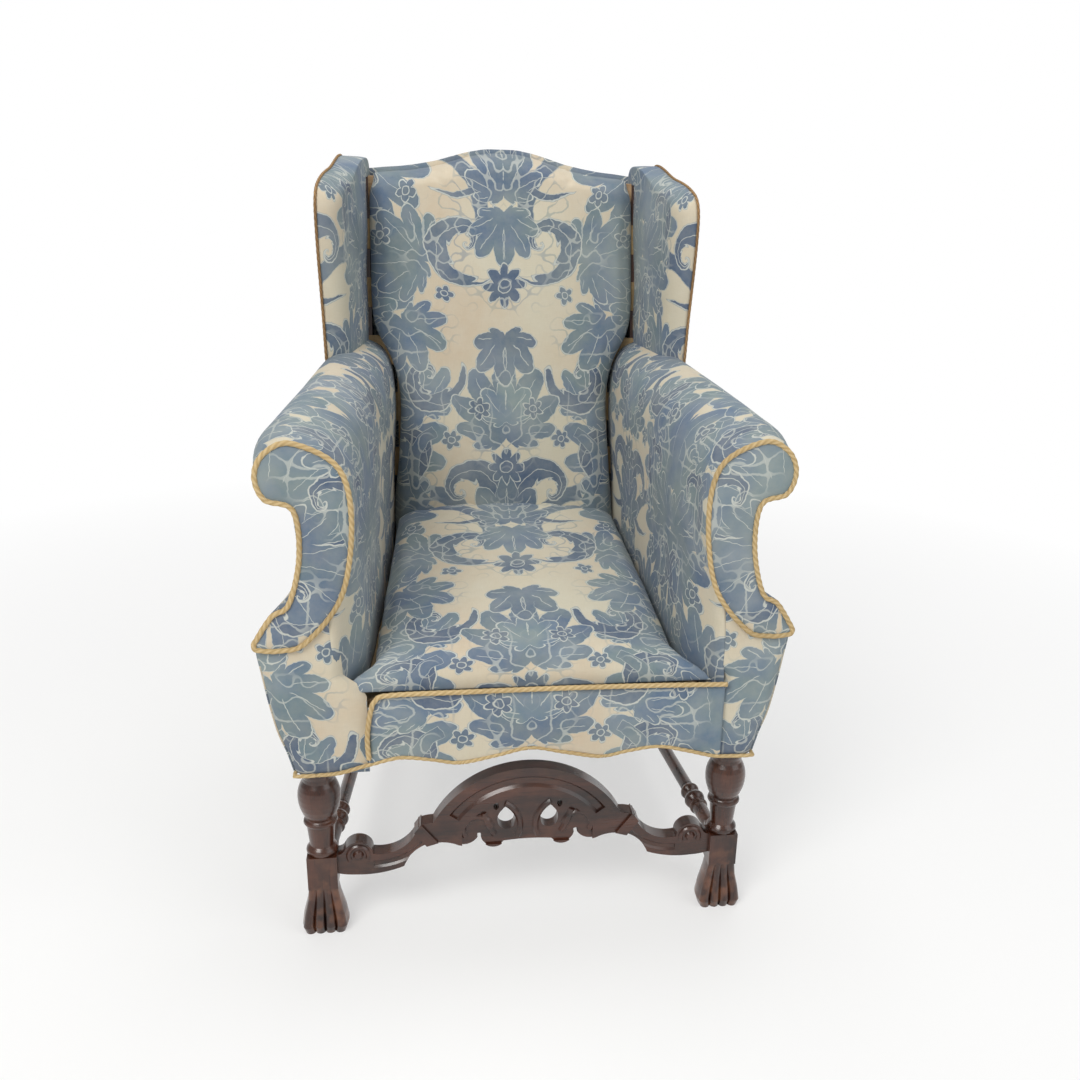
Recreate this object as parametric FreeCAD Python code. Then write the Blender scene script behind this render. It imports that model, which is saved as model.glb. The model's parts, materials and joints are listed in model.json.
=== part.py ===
"""Wingback armchair: turned and carved show-wood legs, a joined frame, springs, stuffing and covers.

Millimetres. While it is built, Y = 0 is the plane of the arm fronts, +Y runs to the back, +X to the
right as seen from the front, and the floor is Z = 0. At the end everything moves together, so that
the origin lies on the floor in the middle of the footprint.
"""

import FreeCAD, Part
import math
import os

Vector = FreeCAD.Vector

# Heights
RAIL_BOTTOM = 283.0
SEAT_OVER_RAIL = 20.0
POST_UNDER_CREST = 53.0
CREST_HEIGHT = 1113.0
SHOULDER_DROP = 14.0
BACK_LOW_DROP = 36.0
ARM_HEIGHT = 755.0
ARM_RISE = 37.0
SEAT_FRONT_HEIGHT = 405.0
SEAT_REAR_HEIGHT = 502.0
SEAT_CROWN = 14.0
SEAT_SIDE_GAP = 1.5
SEAT_UNDERCUT = 20.0

# Widths, each measured from the centre line
FRONT_LEG_X = 302.0
BACK_POST_X = 251.0
ROLL_OUTER_X = 351.0
WING_OUTER_X = 302.0
WING_INNER_X = 259.0
BACK_PAD_X = 222.0
SEAT_FRONT_X = 270.0
SEAT_MIDDLE_X = 229.0
SEAT_REAR_X = 206.0

# Depths
FRONT_LEG_Y = 44.5
BACK_POST_Y = 545.0
BACK_POST_LEAN = 0.158
BACK_REAR_LEAN = 0.147
BACK_PAD_LEAN = 0.232
BACK_PAD_Y = 513.0
BACK_PAD_LEVEL = 500.0
WING_FRONT_Y = 438.0
WING_DEPTH_SLOPE = 0.175
WING_OUTER_SLOPE = 0.10
WING_INNER_SLOPE = 0.132
WING_CLEAR = 4.6
REAR_LEG_RAKE = 64.0

# Timber sections
LEG_BLOCK = 43.0
RAIL_WIDTH = 24.0
BACK_POST_WIDTH = 38.0
BACK_POST_DEPTH = 47.0
REAR_FOOT_DEPTH = 38.0
ARM_RAIL_WIDTH = 30.0
ARM_RAIL_HEIGHT = 38.0
ARM_POST_DEPTH = 25.0
TACK_RAIL_WIDTH = 26.0
TACK_RAIL_HEIGHT = 32.0
TOP_RAIL_DEPTH = 26.0
TOP_RAIL_HEIGHT = 70.0
WING_BOARD = 20.0
TENON_LENGTH = 14.0
TENON_THICKNESS = 10.0
TENON_GAP = 0.2

# Soft goods
COVER = 2.0
SOFT_GAP = 0.3
SIDE_CLEAR = 4.5
SHEET_GAP = 0.3
POST_PAD = 10.0
PIPING_RADIUS = 3.5
FACING_DEPTH = 8.0
WEBBING_WIDTH = 50.0
WEBBING_THICKNESS = 1.4
CANVAS = 1.2
BACK_STRAP_FIRST = 67.0
BACK_STRAP_STEP = 98.0
SPRING_RADIUS = 38.0
SPRING_WAIST = 26.0
SPRING_WIRE = 4.0
SPRING_PITCH = 110.0
SPRING_FIRST_Y = 160.0
SPRING_TURNS = 4
SPRING_STEPS = 8
SCREW_SHANK = 2.0
SCREW_HEAD = 3.6
SCREW_SINK = 3.2
SCREW_LENGTH = 30.0
SCREW_ROOM = 0.05
CANVAS_OVER_PIPING = 42.0

# Front stretcher
STRETCHER_DEPTH = 24.0
STRETCHER_CREST = 259.0
STRETCHER_ARCH_SPAN = 140.0
STRETCHER_ARCH_RISE = 85.0
STRETCHER_BAND = 46.0
STRETCHER_FOOT = 137.0
VOLUTE_RADIUS = 21.5
VOLUTE_X = 250.0
VOLUTE_Z = 126.0

# Leg turning and foot
BLOCK_BOTTOM = 76.0
BLOCK_TOP = 130.0
BULB_RADIUS = 30.5
BEAD_RADIUS = 24.5
NECK_RADIUS = 22.5
PAW_HALF_WIDTH = 32.0
SPINDLE_HEIGHT = 104.0
SPINDLE_RADIUS = 12.0
TURNED_CHORDS = 4
STRAIGHT_BOW = 0.2

RAIL_TOP = SEAT_FRONT_HEIGHT - SEAT_OVER_RAIL
RAIL_HEIGHT = RAIL_TOP - RAIL_BOTTOM
BACK_POST_TOP = CREST_HEIGHT - POST_UNDER_CREST
CANVAS_RISE = SEAT_FRONT_HEIGHT - RAIL_TOP + CANVAS_OVER_PIPING
LEG_FRONT_Y = FRONT_LEG_Y - LEG_BLOCK / 2
LEG_REAR_Y = FRONT_LEG_Y + LEG_BLOCK / 2
LEG_INNER_X = FRONT_LEG_X - LEG_BLOCK / 2
LEG_OUTER_X = FRONT_LEG_X + LEG_BLOCK / 2
SIDE_RAIL_FRONT_Y = LEG_REAR_Y - 4
SIDE_RAIL_REAR_Y = BACK_POST_Y + 18
POST_INNER_X = BACK_POST_X - BACK_POST_WIDTH / 2
POST_OUTER_X = BACK_POST_X + BACK_POST_WIDTH / 2

POST_REAR_Y = LEG_FRONT_Y + ARM_POST_DEPTH
BACK_CLEAR = 2 * WEBBING_THICKNESS + CANVAS + 2 * SOFT_GAP
ARM_RAIL_BOTTOM = ARM_HEIGHT - 55
ARM_RAIL_START = (ROLL_OUTER_X - 51, POST_REAR_Y)
ARM_RAIL_END = (BACK_POST_X - 4, BACK_POST_Y + BACK_POST_LEAN * (ARM_RAIL_BOTTOM - RAIL_BOTTOM) + 2)
TACK_RAIL_START = (SEAT_FRONT_X + 22, POST_REAR_Y)
TACK_RAIL_END = (BACK_POST_X, BACK_POST_Y + BACK_POST_LEAN * (RAIL_TOP + TACK_RAIL_HEIGHT - RAIL_BOTTOM) + 2)
ARM_FRONT_Y = 5.0
BORDER_Y = 0.9
CORNER_TOP = SEAT_FRONT_HEIGHT - 5
RIGHT_SEAM_X = SEAT_FRONT_X + 7
LEFT_SEAM_X = SEAT_MIDDLE_X - 3
HEM_CORD_RADIUS = PIPING_RADIUS * 0.8
SIDE_CORD_Z = RAIL_BOTTOM - 2.5

SPRING_ROWS = [SPRING_FIRST_Y + SPRING_PITCH * row for row in range(3)]

pieces = {}


# Points, edges, wires and lofts

def bend(first, middle, last):
    """A straight edge where three points are in line, and otherwise the arc through them."""
    bow = (middle - first).cross(last - first).Length / (last - first).Length
    if bow < 0.02:
        return Part.LineSegment(first, last).toShape()
    return Part.Arc(first, middle, last).toShape()


def wire(points, place):
    """Closed wire through corner, middle, corner, middle and so on, with an arc through each middle."""
    spots = [place(*point) for point in points]
    count = len(spots)
    return Part.Wire([bend(spots[i], spots[i + 1], spots[(i + 2) % count]) for i in range(0, count, 2)])


def moved_in(points, depth, closed=True):
    """Each point moves to the right of the way from the point before it to the point after it."""
    result = []
    count = len(points)
    for i, (a, b) in enumerate(points):
        before = points[i - 1] if closed or i else points[0]
        after = points[(i + 1) % count] if closed or i < count - 1 else points[-1]
        run_a = after[0] - before[0]
        run_b = after[1] - before[1]
        length = math.hypot(run_a, run_b)
        result.append((a + depth * run_b / length, b - depth * run_a / length))
    return result


def drawn_in(points, depth, reach, middle):
    """Outline drawn towards its middle, so that it stops depth short of its reach on each axis."""
    (a0, b0) = middle
    scale_a = 1 - depth / reach[0]
    scale_b = 1 - depth / reach[1]
    return [(a0 + (a - a0) * scale_a, b0 + (b - b0) * scale_b) for a, b in points]


def halfway(one, other):
    return ((one[0] + other[0]) / 2, (one[1] + other[1]) / 2)


def band(chain, near, far):
    """Closed outline between an open chain moved in by near and the same chain moved in by far."""
    outer = moved_in(chain, near, closed=False)
    inner = moved_in(chain, far, closed=False)[::-1]
    return outer + [halfway(outer[-1], inner[0])] + inner + [halfway(inner[-1], outer[0])]


def between(one, other, share):
    """Outline part of the way from one outline to another with matching points."""
    return [(a + (c - a) * share, b + (d - b) * share) for (a, b), (c, d) in zip(one, other)]


def corners(points):
    """Outline with straight sides: puts the middle point into each side."""
    result = []
    for i, point in enumerate(points):
        result += [point, halfway(point, points[(i + 1) % len(points)])]
    return result


def mirrored(chain):
    """A chain that ends on the centre line, followed by its mirror image."""
    return chain + [(-a, b) for a, b in chain[-2::-1]]


def upright(y, lean=0.0, level=0.0):
    """Places (x, z) points in a plane that crosses y at the level and leans back above it."""
    return lambda a, b: Vector(a, y + lean * (b - level), b)


def sideways(x, slope=0.0, start=0.0):
    """Places (y, z) points in an upright plane that runs nearly front to back."""
    return lambda a, b: Vector(x + slope * (a - start), a, b)


def level(z, tilt=0.0):
    """Places (x, y) points in a plane that rises towards the back."""
    return lambda a, b: Vector(a, b, z + tilt * b)


def loft(wires, ruled=True):
    solid = Part.makeLoft(wires, True, ruled)
    return solid


def prism(points, place, way):
    return Part.Face(wire(points, place)).extrude(way)


def box(x, y, z):
    """Box between the lowest and highest value on each axis."""
    return Part.makeBox(x[1] - x[0], y[1] - y[0], z[1] - z[0], Vector(x[0], y[0], z[0]))


def plank(start, end, width, z, extra=0.0):
    """Upright board along a line in plan, longer by extra at both ends."""
    line = Vector(end[0] - start[0], end[1] - start[1], 0)
    along = Vector(line).normalize()
    side = Vector(-along.y, along.x, 0) * (width / 2)
    a = Vector(start[0], start[1], z[0]) - along * extra
    b = Vector(end[0], end[1], z[0]) + along * extra
    ring = Part.makePolygon([a + side, b + side, b - side, a - side, a + side])
    return Part.Face(ring).extrude(Vector(0, 0, z[1] - z[0]))


def largest(shape):
    return max(shape.Solids, key=lambda solid: solid.Volume)


def mirror(shape):
    return shape.mirror(Vector(0, 0, 0), Vector(1, 0, 0))


def keep(name, shape):
    """Stores a piece as one solid or a group of separate solids."""
    solids = shape.Solids
    pieces[name] = solids[0] if len(solids) == 1 else Part.makeCompound(solids)


def keep_pair(name, right):
    keep(name + "_right", right)
    keep(name + "_left", mirror(right))


def turning(profile, centre):
    """Turned solid from (radius, height) corner, middle, corner and so on, each curve cut in short cones."""
    spots = [centre + Vector(r, 0, z) for r, z in profile]
    outline = [Vector(centre.x, centre.y, spots[0].z), spots[0]]
    for i in range(0, len(spots) - 1, 2):
        edge = bend(spots[i], spots[i + 1], spots[i + 2])
        bow = edge.Length - (spots[i + 2] - spots[i]).Length
        outline += edge.discretize(TURNED_CHORDS + 1)[1:] if bow > STRAIGHT_BOW else [spots[i + 2]]
    outline.append(Vector(centre.x, centre.y, spots[-1].z))
    ring = Part.makePolygon(outline + outline[:1])
    return Part.Face(ring).revolve(outline[0], Vector(0, 0, 1), 360)


def back_front(z, offset=0.0):
    """Depth of the front face of the back posts at a height."""
    return BACK_POST_Y + BACK_POST_LEAN * (z - RAIL_BOTTOM) + offset


def back_rear(z, offset=0.0):
    """Depth of the rear face of the back posts at a height."""
    return BACK_POST_Y + BACK_POST_DEPTH + BACK_REAR_LEAN * (z - RAIL_BOTTOM) + offset


def pad_front(z):
    """Depth of the inside back's surface at a height."""
    return BACK_PAD_Y + BACK_PAD_LEAN * (z - BACK_PAD_LEVEL)


# Paw foot

def paw_section(half_width, front, rear, toe):
    """Foot outline in plan about the leg's centre: heel, sides, and four toes that bulge forwards."""
    step = half_width / 2
    outline = [(-half_width, front + toe), (-half_width - toe / 3, (front + rear) / 2), (-half_width * 0.8, rear)]
    outline += [(0, rear + 3), (half_width * 0.8, rear), (half_width + toe / 3, (front + rear) / 2)]
    for number in range(4):
        edge = half_width - number * step
        drop = toe if number in (0, 4) else toe * 0.6
        outline += [(edge, front + drop), (edge - step / 2, front - toe * 0.5)]
    return outline


def paw_foot(centre):
    """Loft through plan outlines: each row is height, half width, front, rear and bulge of the toes."""
    neck = LEG_BLOCK / 2 - 1
    rows = [
        (0.0, PAW_HALF_WIDTH * 0.9, -22.0, 21.0, 5.0),
        (12.0, PAW_HALF_WIDTH, -25.0, 24.0, 6.0),
        (30.0, PAW_HALF_WIDTH * 0.92, -23.0, 22.0, 5.0),
        (54.0, PAW_HALF_WIDTH * 0.74, -20.0, 20.0, 3.0),
        (BLOCK_BOTTOM, neck, -neck, neck - 3, 1.5),
    ]
    wires = []
    for height, half_width, front, rear, toe in rows:
        outline = paw_section(half_width, front, rear, toe)
        wires.append(wire(outline, lambda a, b, z=height: centre + Vector(a, b, z)))
    return loft(wires, ruled=True)


# Legs and stretchers

def front_leg():
    """Square blocks at rail and stretcher, a turned cup between them and a carved paw below."""
    centre = Vector(FRONT_LEG_X, FRONT_LEG_Y, 0)
    top = RAIL_BOTTOM
    profile = [
        (21.0, BLOCK_TOP), (23.0, BLOCK_TOP + 5), (21.0, BLOCK_TOP + 10), (19.0, BLOCK_TOP + 11.5),
        (17.5, BLOCK_TOP + 14), (18.5, (BLOCK_TOP + top - 90) / 2), (20.5, top - 104),
        (BEAD_RADIUS, top - 100), (21.5, top - 95), (20.5, top - 93), (21.5, top - 91),
        (27.5, top - 77), (BULB_RADIUS, top - 57), (BULB_RADIUS - 2.5, top - 42), (NECK_RADIUS, top - 31),
        (NECK_RADIUS - 0.5, top - 28), (NECK_RADIUS, top - 25), (NECK_RADIUS + 3, top - 12),
        (NECK_RADIUS, top),
    ]
    half = LEG_BLOCK / 2
    x = (FRONT_LEG_X - half, FRONT_LEG_X + half)
    y = (FRONT_LEG_Y - half, FRONT_LEG_Y + half)
    block = box(x, y, (BLOCK_BOTTOM, BLOCK_TOP))
    stump = box(x, y, (RAIL_BOTTOM, RAIL_TOP))
    return paw_foot(centre).fuse([block, turning(profile, centre), stump]).removeSplitter()


def rear_leg():
    """Sawn from one plank: raked below the seat, and leaning back above it as the back post."""
    foot_y = BACK_POST_Y + REAR_LEG_RAKE
    low = RAIL_BOTTOM
    outline = [
        (foot_y, 0), (BACK_POST_Y + REAR_LEG_RAKE * 0.28, low / 2), (back_front(low), low),
        halfway((back_front(low), low), (back_front(BACK_POST_TOP), BACK_POST_TOP)),
        (back_front(BACK_POST_TOP), BACK_POST_TOP), (back_front(BACK_POST_TOP, 15), BACK_POST_TOP),
        (back_rear(BACK_POST_TOP), BACK_POST_TOP),
        halfway((back_rear(BACK_POST_TOP), BACK_POST_TOP), (back_rear(low), low)),
        (back_rear(low), low), (BACK_POST_Y + BACK_POST_DEPTH + REAR_LEG_RAKE * 0.22, low / 2),
        (foot_y + REAR_FOOT_DEPTH, 0), (foot_y + REAR_FOOT_DEPTH / 2, 0),
    ]
    return prism(outline, sideways(POST_INNER_X), Vector(BACK_POST_WIDTH, 0, 0))


def arch_height(x, radius_change=0.0):
    """Height of the stretcher's arch at a distance from the centre, on a circle through its feet and crest."""
    radius = (STRETCHER_ARCH_SPAN ** 2 + STRETCHER_ARCH_RISE ** 2) / (2 * STRETCHER_ARCH_RISE)
    return STRETCHER_CREST - radius + math.sqrt((radius + radius_change) ** 2 - x * x)


def arch_radius():
    return (STRETCHER_ARCH_SPAN ** 2 + STRETCHER_ARCH_RISE ** 2) / (2 * STRETCHER_ARCH_RISE)


def stretcher_tube(path, radius, y):
    """Round ridge or hollow that follows an arc through three points on the stretcher's face."""
    first, middle, last = (Vector(a, y, b) for a, b in path)
    spine = Part.Wire([Part.Arc(first, middle, last).toShape()])
    along = spine.Edges[0].tangentAt(spine.Edges[0].FirstParameter)
    across = along.cross(Vector(0, 1, 0)).normalize()
    ring = []
    for side in range(8):
        angle = math.pi * (side + 0.5) / 4
        ring.append(first + across * (radius * math.cos(angle)) + Vector(0, radius * math.sin(angle), 0))
    return spine.makePipeShell([Part.makePolygon(ring + ring[:1])], True, True)


def front_stretcher():
    """Arched and scrolled stretcher with a moulded band, knee blocks and a pierced leaf carving."""
    front = FRONT_LEG_Y - STRETCHER_DEPTH / 2
    thick = Vector(0, STRETCHER_DEPTH, 0)
    foot_z = STRETCHER_CREST - STRETCHER_ARCH_RISE
    knee = STRETCHER_ARCH_SPAN + 22
    top_z = VOLUTE_Z + VOLUTE_RADIUS
    chain = [
        (-LEG_INNER_X, VOLUTE_Z - 30), (-LEG_INNER_X, VOLUTE_Z - 14), (-LEG_INNER_X, VOLUTE_Z + 2),
        (-LEG_INNER_X + 5, VOLUTE_Z + 3), (-VOLUTE_X - VOLUTE_RADIUS * 0.9, VOLUTE_Z + VOLUTE_RADIUS * 0.44),
        (-VOLUTE_X - VOLUTE_RADIUS * 0.44, VOLUTE_Z + VOLUTE_RADIUS * 0.9), (-VOLUTE_X, top_z),
        (-VOLUTE_X + VOLUTE_RADIUS * 0.8, VOLUTE_Z + VOLUTE_RADIUS * 0.6), (-VOLUTE_X + VOLUTE_RADIUS, VOLUTE_Z),
        (-knee - 28, VOLUTE_Z + 6), (-knee, foot_z - 4),
        (-knee + 11, foot_z - 1), (-STRETCHER_ARCH_SPAN, foot_z),
        (-STRETCHER_ARCH_SPAN * 0.55, arch_height(STRETCHER_ARCH_SPAN * 0.55)), (0, STRETCHER_CREST),
    ]
    under = [
        (0, STRETCHER_FOOT - 1), (36, STRETCHER_FOOT - 3), (68, STRETCHER_FOOT), (70, STRETCHER_FOOT + 6),
        (73, STRETCHER_FOOT + 13), (75, STRETCHER_FOOT + 6), (80, STRETCHER_FOOT), (108, STRETCHER_FOOT - 2),
        (knee - 24, STRETCHER_FOOT + 2), (knee + 22, VOLUTE_Z - 24), (VOLUTE_X - 24, VOLUTE_Z - 34),
        (VOLUTE_X + 4, VOLUTE_Z - 34),
    ]
    lower = [(a, b) for a, b in under[::-1]] + [(-a, b) for a, b in under[1:]]
    outline = mirrored(chain) + [(LEG_INNER_X - 8, VOLUTE_Z - 32)] + lower
    outline = outline[:-1] + [outline[-1], (-LEG_INNER_X + 8, VOLUTE_Z - 32)]
    solid = prism(outline, upright(front), thick)
    cutters = []
    for side in (-1, 1):
        hole = [
            (21, 160), (19, 176), (24, 191), (32, 193), (38, 188), (45, 176), (44, 163), (34, 155),
        ]
        eye = [(44, 196), (47, 200), (51, 196), (50, 190), (47, 188), (44, 191)]
        for ring in (hole, eye):
            ring = [(side * a, b) for a, b in ring]
            cutters.append(prism(ring, upright(front - 1), thick + Vector(0, 2, 0)))
    middle = STRETCHER_BAND / 2
    reach = STRETCHER_ARCH_SPAN * 0.78
    hollow = [(-reach, arch_height(reach, -middle)), (0, STRETCHER_CREST - middle), (reach, arch_height(reach, -middle))]
    cutters.append(stretcher_tube(hollow, STRETCHER_BAND * 0.27, front - STRETCHER_BAND * 0.16))
    for side in (-1, 1):
        swan = [(side * (knee - 10), 141), (side * (knee + 24), 116), (side * (VOLUTE_X - 22), 108)]
        cutters.append(stretcher_tube(swan, 8.0, front - 4.5))
    solid = solid.cut(cutters)
    field = box((-98, 98), (front - 1, front + 4), (STRETCHER_FOOT - 6, STRETCHER_CREST))
    inner_arch = Part.makeCylinder(arch_radius() - STRETCHER_BAND, 12, Vector(0, front - 2, STRETCHER_CREST
                                   - arch_radius()), Vector(0, 1, 0))
    solid = solid.cut(field.common(inner_arch))
    ridges = []
    for side in (-1, 1):
        leaf = [(side * 15, 142), (side * 13, 172), (side * 34, 199)]
        curl = [(side * 93, 146), (side * 74, 178), (side * 55, 160)]
        spray = [(side * 50, 146), (side * 62, 170), (side * 66, 184)]
        for path in (leaf, curl, spray):
            ridges.append(stretcher_tube(path, 5.0, front + 5.0))
        eye = Vector(side * VOLUTE_X, front, VOLUTE_Z)
        ridges.append(Part.makeCone(5.0, 8.0, 4.0, eye - Vector(0, 4, 0), Vector(0, 1, 0)))
        turn = [(side * (VOLUTE_X + 12), VOLUTE_Z - 8), (side * VOLUTE_X, VOLUTE_Z + 14),
                (side * (VOLUTE_X - 13), VOLUTE_Z - 6)]
        ridges.append(stretcher_tube(turn, 3.5, front))
        block = prism(corners([(side * (knee - 29), 141), (side * (knee - 4), foot_z), (side * (knee + 6), foot_z - 14),
                               (side * (knee - 12), 136)]), upright(front - 4), thick + Vector(0, 4, 0))
        ridges.append(block)
    solid = solid.fuse(ridges)
    tenon = box((-LEG_INNER_X - TENON_LENGTH, LEG_INNER_X + TENON_LENGTH),
                (FRONT_LEG_Y - TENON_THICKNESS / 2, FRONT_LEG_Y + TENON_THICKNESS / 2),
                (VOLUTE_Z - 24, VOLUTE_Z - 4))
    gap = box((-LEG_INNER_X + 6, LEG_INNER_X - 6), (0, 2 * FRONT_LEG_Y), (0, STRETCHER_CREST))
    tenon = tenon.cut(gap)
    return solid.fuse(tenon).removeSplitter(), tenon


def spindle(start, end):
    """Turned stretcher between two points: a slim shaft with a bead, a ball and a reel near each end."""
    line = end - start
    length = line.Length
    r = SPINDLE_RADIUS
    half = [
        (r - 1, 0), (r - 0.5, 40), (r, 78), (r + 3, 82), (r, 86), (r - 2, 90), (r, 94),
        (r + 5, 103), (r, 112), (r - 3, 117), (r, 122), (r + 3.5, 128), (r, 134), (r - 2, 138), (r - 1.5, 142),
    ]
    other = [(radius, length - z) for radius, z in half[::-1]]
    profile = half + [((half[-1][0] + other[0][0]) / 2, length / 2)] + other
    solid = turning(profile, Vector(0, 0, 0))
    tenon = Part.makeCylinder(TENON_THICKNESS - 2, length + 2 * TENON_LENGTH, Vector(0, 0, -TENON_LENGTH))
    grown = Part.makeCylinder(TENON_THICKNESS - 2 + TENON_GAP, length + 2 * TENON_LENGTH + 1,
                              Vector(0, 0, -TENON_LENGTH - 0.5))
    turn = FreeCAD.Rotation(Vector(0, 0, 1), line)
    spot = FreeCAD.Placement(start, turn)
    for shape in (solid, tenon, grown):
        shape.Placement = spot
    return solid, tenon, grown


def rear_leg_y(z):
    """Depth of the middle of the raked rear leg at a height below the seat."""
    share = 1 - z / RAIL_BOTTOM
    middle = BACK_POST_Y + BACK_POST_DEPTH / 2
    return middle + share * (REAR_LEG_RAKE - (BACK_POST_DEPTH - REAR_FOOT_DEPTH) / 2) * 0.62


# Seat frame

def hem_chain(drop=0.0):
    """Serpentine lower edge of the seat front, from the left corner to the right one."""
    edge = RAIL_BOTTOM + drop
    chain = [(-LEG_OUTER_X - 5, edge - 2), (-LEG_OUTER_X + 26.5, edge - 1), (-SEAT_FRONT_X + 3, edge + 1),
             (-184, edge + 21), (-100, edge + 9), (0, edge + 28)]
    return chain + [(-a, b) for a, b in chain[4::-1]]


def build_seat_frame():
    """Four rails tenoned into the legs, a webbing batten, corner blocks and their screws."""
    leg = front_leg()
    post = rear_leg()
    legs = {"front_leg_right": leg, "front_leg_left": mirror(leg), "rear_leg_right": post,
            "rear_leg_left": mirror(post)}
    rails = {}
    heights = (RAIL_BOTTOM, RAIL_TOP)
    tenon_heights = (RAIL_BOTTOM + 22, RAIL_TOP - 16)
    grown_heights = (tenon_heights[0] - TENON_GAP, tenon_heights[1] + TENON_GAP)
    side_front = (LEG_OUTER_X - RAIL_WIDTH / 2, SIDE_RAIL_FRONT_Y)
    side_rear = (POST_OUTER_X - RAIL_WIDTH / 2, SIDE_RAIL_REAR_Y)
    front_y = LEG_FRONT_Y + RAIL_WIDTH / 2
    rear_y = BACK_POST_Y + BACK_POST_DEPTH * 0.62
    runs = {
        "side_seat_rail_right": (side_front, side_rear, 0.0),
        "front_seat_rail": ((-LEG_INNER_X, front_y), (LEG_INNER_X, front_y), 4.0),
        "rear_seat_rail": ((-POST_INNER_X, rear_y), (POST_INNER_X, rear_y), 4.0),
    }
    for name, (start, end, reach) in runs.items():
        body = plank(start, end, RAIL_WIDTH, heights, reach).cut(list(legs.values()))
        tenon = plank(start, end, TENON_THICKNESS, tenon_heights, TENON_LENGTH - 4)
        grown = plank(start, end, TENON_THICKNESS + 2 * TENON_GAP, grown_heights, TENON_LENGTH - 4 + TENON_GAP)
        tenons = [tenon]
        growns = [grown]
        if name.startswith("side"):
            growns.append(mirror(grown))
        for key in legs:
            legs[key] = legs[key].cut(growns)
        rails[name] = largest(body).fuse(tenons).removeSplitter()
    outline = hem_chain(2.5)
    outline = outline + [(LEG_OUTER_X + 5, 150), (LEG_OUTER_X + 5, 100), (0, 100), (-LEG_OUTER_X - 5, 100),
                         (-LEG_OUTER_X - 5, 150)]
    scoop = prism(outline, upright(LEG_FRONT_Y - 1), Vector(0, RAIL_WIDTH + 2, 0))
    rails["front_seat_rail"] = rails["front_seat_rail"].cut(scoop)
    batten_y = (LEG_FRONT_Y + RAIL_WIDTH, LEG_REAR_Y - 1)
    rails["webbing_batten"] = box((-LEG_INNER_X, LEG_INNER_X), batten_y, (RAIL_BOTTOM, RAIL_BOTTOM + 24))
    blocks, screws = corner_blocks(rails, legs)
    stretcher, stretcher_tenon = front_stretcher()
    socket = [box((sign * LEG_INNER_X - 15, sign * LEG_INNER_X + 15),
                  (FRONT_LEG_Y - TENON_THICKNESS / 2 - TENON_GAP, FRONT_LEG_Y + TENON_THICKNESS / 2 + TENON_GAP),
                  (VOLUTE_Z - 24 - TENON_GAP, VOLUTE_Z - 4 + TENON_GAP)) for sign in (-1, 1)]
    for key in ("front_leg_right", "front_leg_left"):
        legs[key] = legs[key].cut(socket)
    start = Vector(FRONT_LEG_X - 2, LEG_REAR_Y - 3, SPINDLE_HEIGHT)
    end = Vector(BACK_POST_X, rear_leg_y(SPINDLE_HEIGHT), SPINDLE_HEIGHT)
    side, side_tenon, side_grown = spindle(start, end)
    low, low_tenon, low_grown = spindle(Vector(-POST_INNER_X - 3, end.y, SPINDLE_HEIGHT + 30),
                                        Vector(POST_INNER_X + 3, end.y, SPINDLE_HEIGHT + 30))
    side = side.cut(list(legs.values()))
    low = low.cut(list(legs.values()))
    half_run = box((-400, 400), (LEG_REAR_Y - TENON_LENGTH, end.y + 6), (0, RAIL_BOTTOM))
    side_tenon = side_tenon.common(half_run)
    reach = POST_INNER_X + TENON_LENGTH
    low_tenon = low_tenon.common(box((-reach, reach), (0, 1000), (0, RAIL_BOTTOM)))
    growns = [side_grown.common(half_run), mirror(side_grown.common(half_run)),
              low_grown.common(box((-reach - 0.5, reach + 0.5), (0, 1000), (0, RAIL_BOTTOM)))]
    for key in legs:
        legs[key] = legs[key].cut(growns)
    keep("front_stretcher", stretcher)
    keep_pair("side_stretcher", largest(side).fuse(side_tenon).removeSplitter())
    keep("rear_stretcher", largest(low).fuse(low_tenon).removeSplitter())
    for name, rail in rails.items():
        if name == "side_seat_rail_right":
            keep_pair("side_seat_rail", rail)
        else:
            keep(name, rail)
    keep("corner_blocks", blocks)
    keep("corner_block_screws", screws)
    return legs


def side_outer_x(y):
    """Outer face of the leg, the side seat rail and the back post at a depth."""
    share = (y - SIDE_RAIL_FRONT_Y) / (SIDE_RAIL_REAR_Y - SIDE_RAIL_FRONT_Y)
    return LEG_OUTER_X + (POST_OUTER_X - LEG_OUTER_X) * min(1.0, max(0.0, share))


def side_inner_x(y):
    """Depth of the notches against the inner face of the side seat rail."""
    return side_outer_x(y) - RAIL_WIDTH - 0.8


def screw(head, way):
    """Countersunk wood screw, and the hole that it fills."""
    shapes = []
    for room in (0.0, SCREW_ROOM):
        sink = Part.makeCone(SCREW_HEAD + room, SCREW_SHANK + room, SCREW_SINK)
        shank = Part.makeCylinder(SCREW_SHANK + room, SCREW_LENGTH + room)
        shapes.append(sink.fuse(shank).removeSplitter())
        shapes[-1].Placement = FreeCAD.Placement(head, FreeCAD.Rotation(Vector(0, 0, 1), way))
    return shapes


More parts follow.
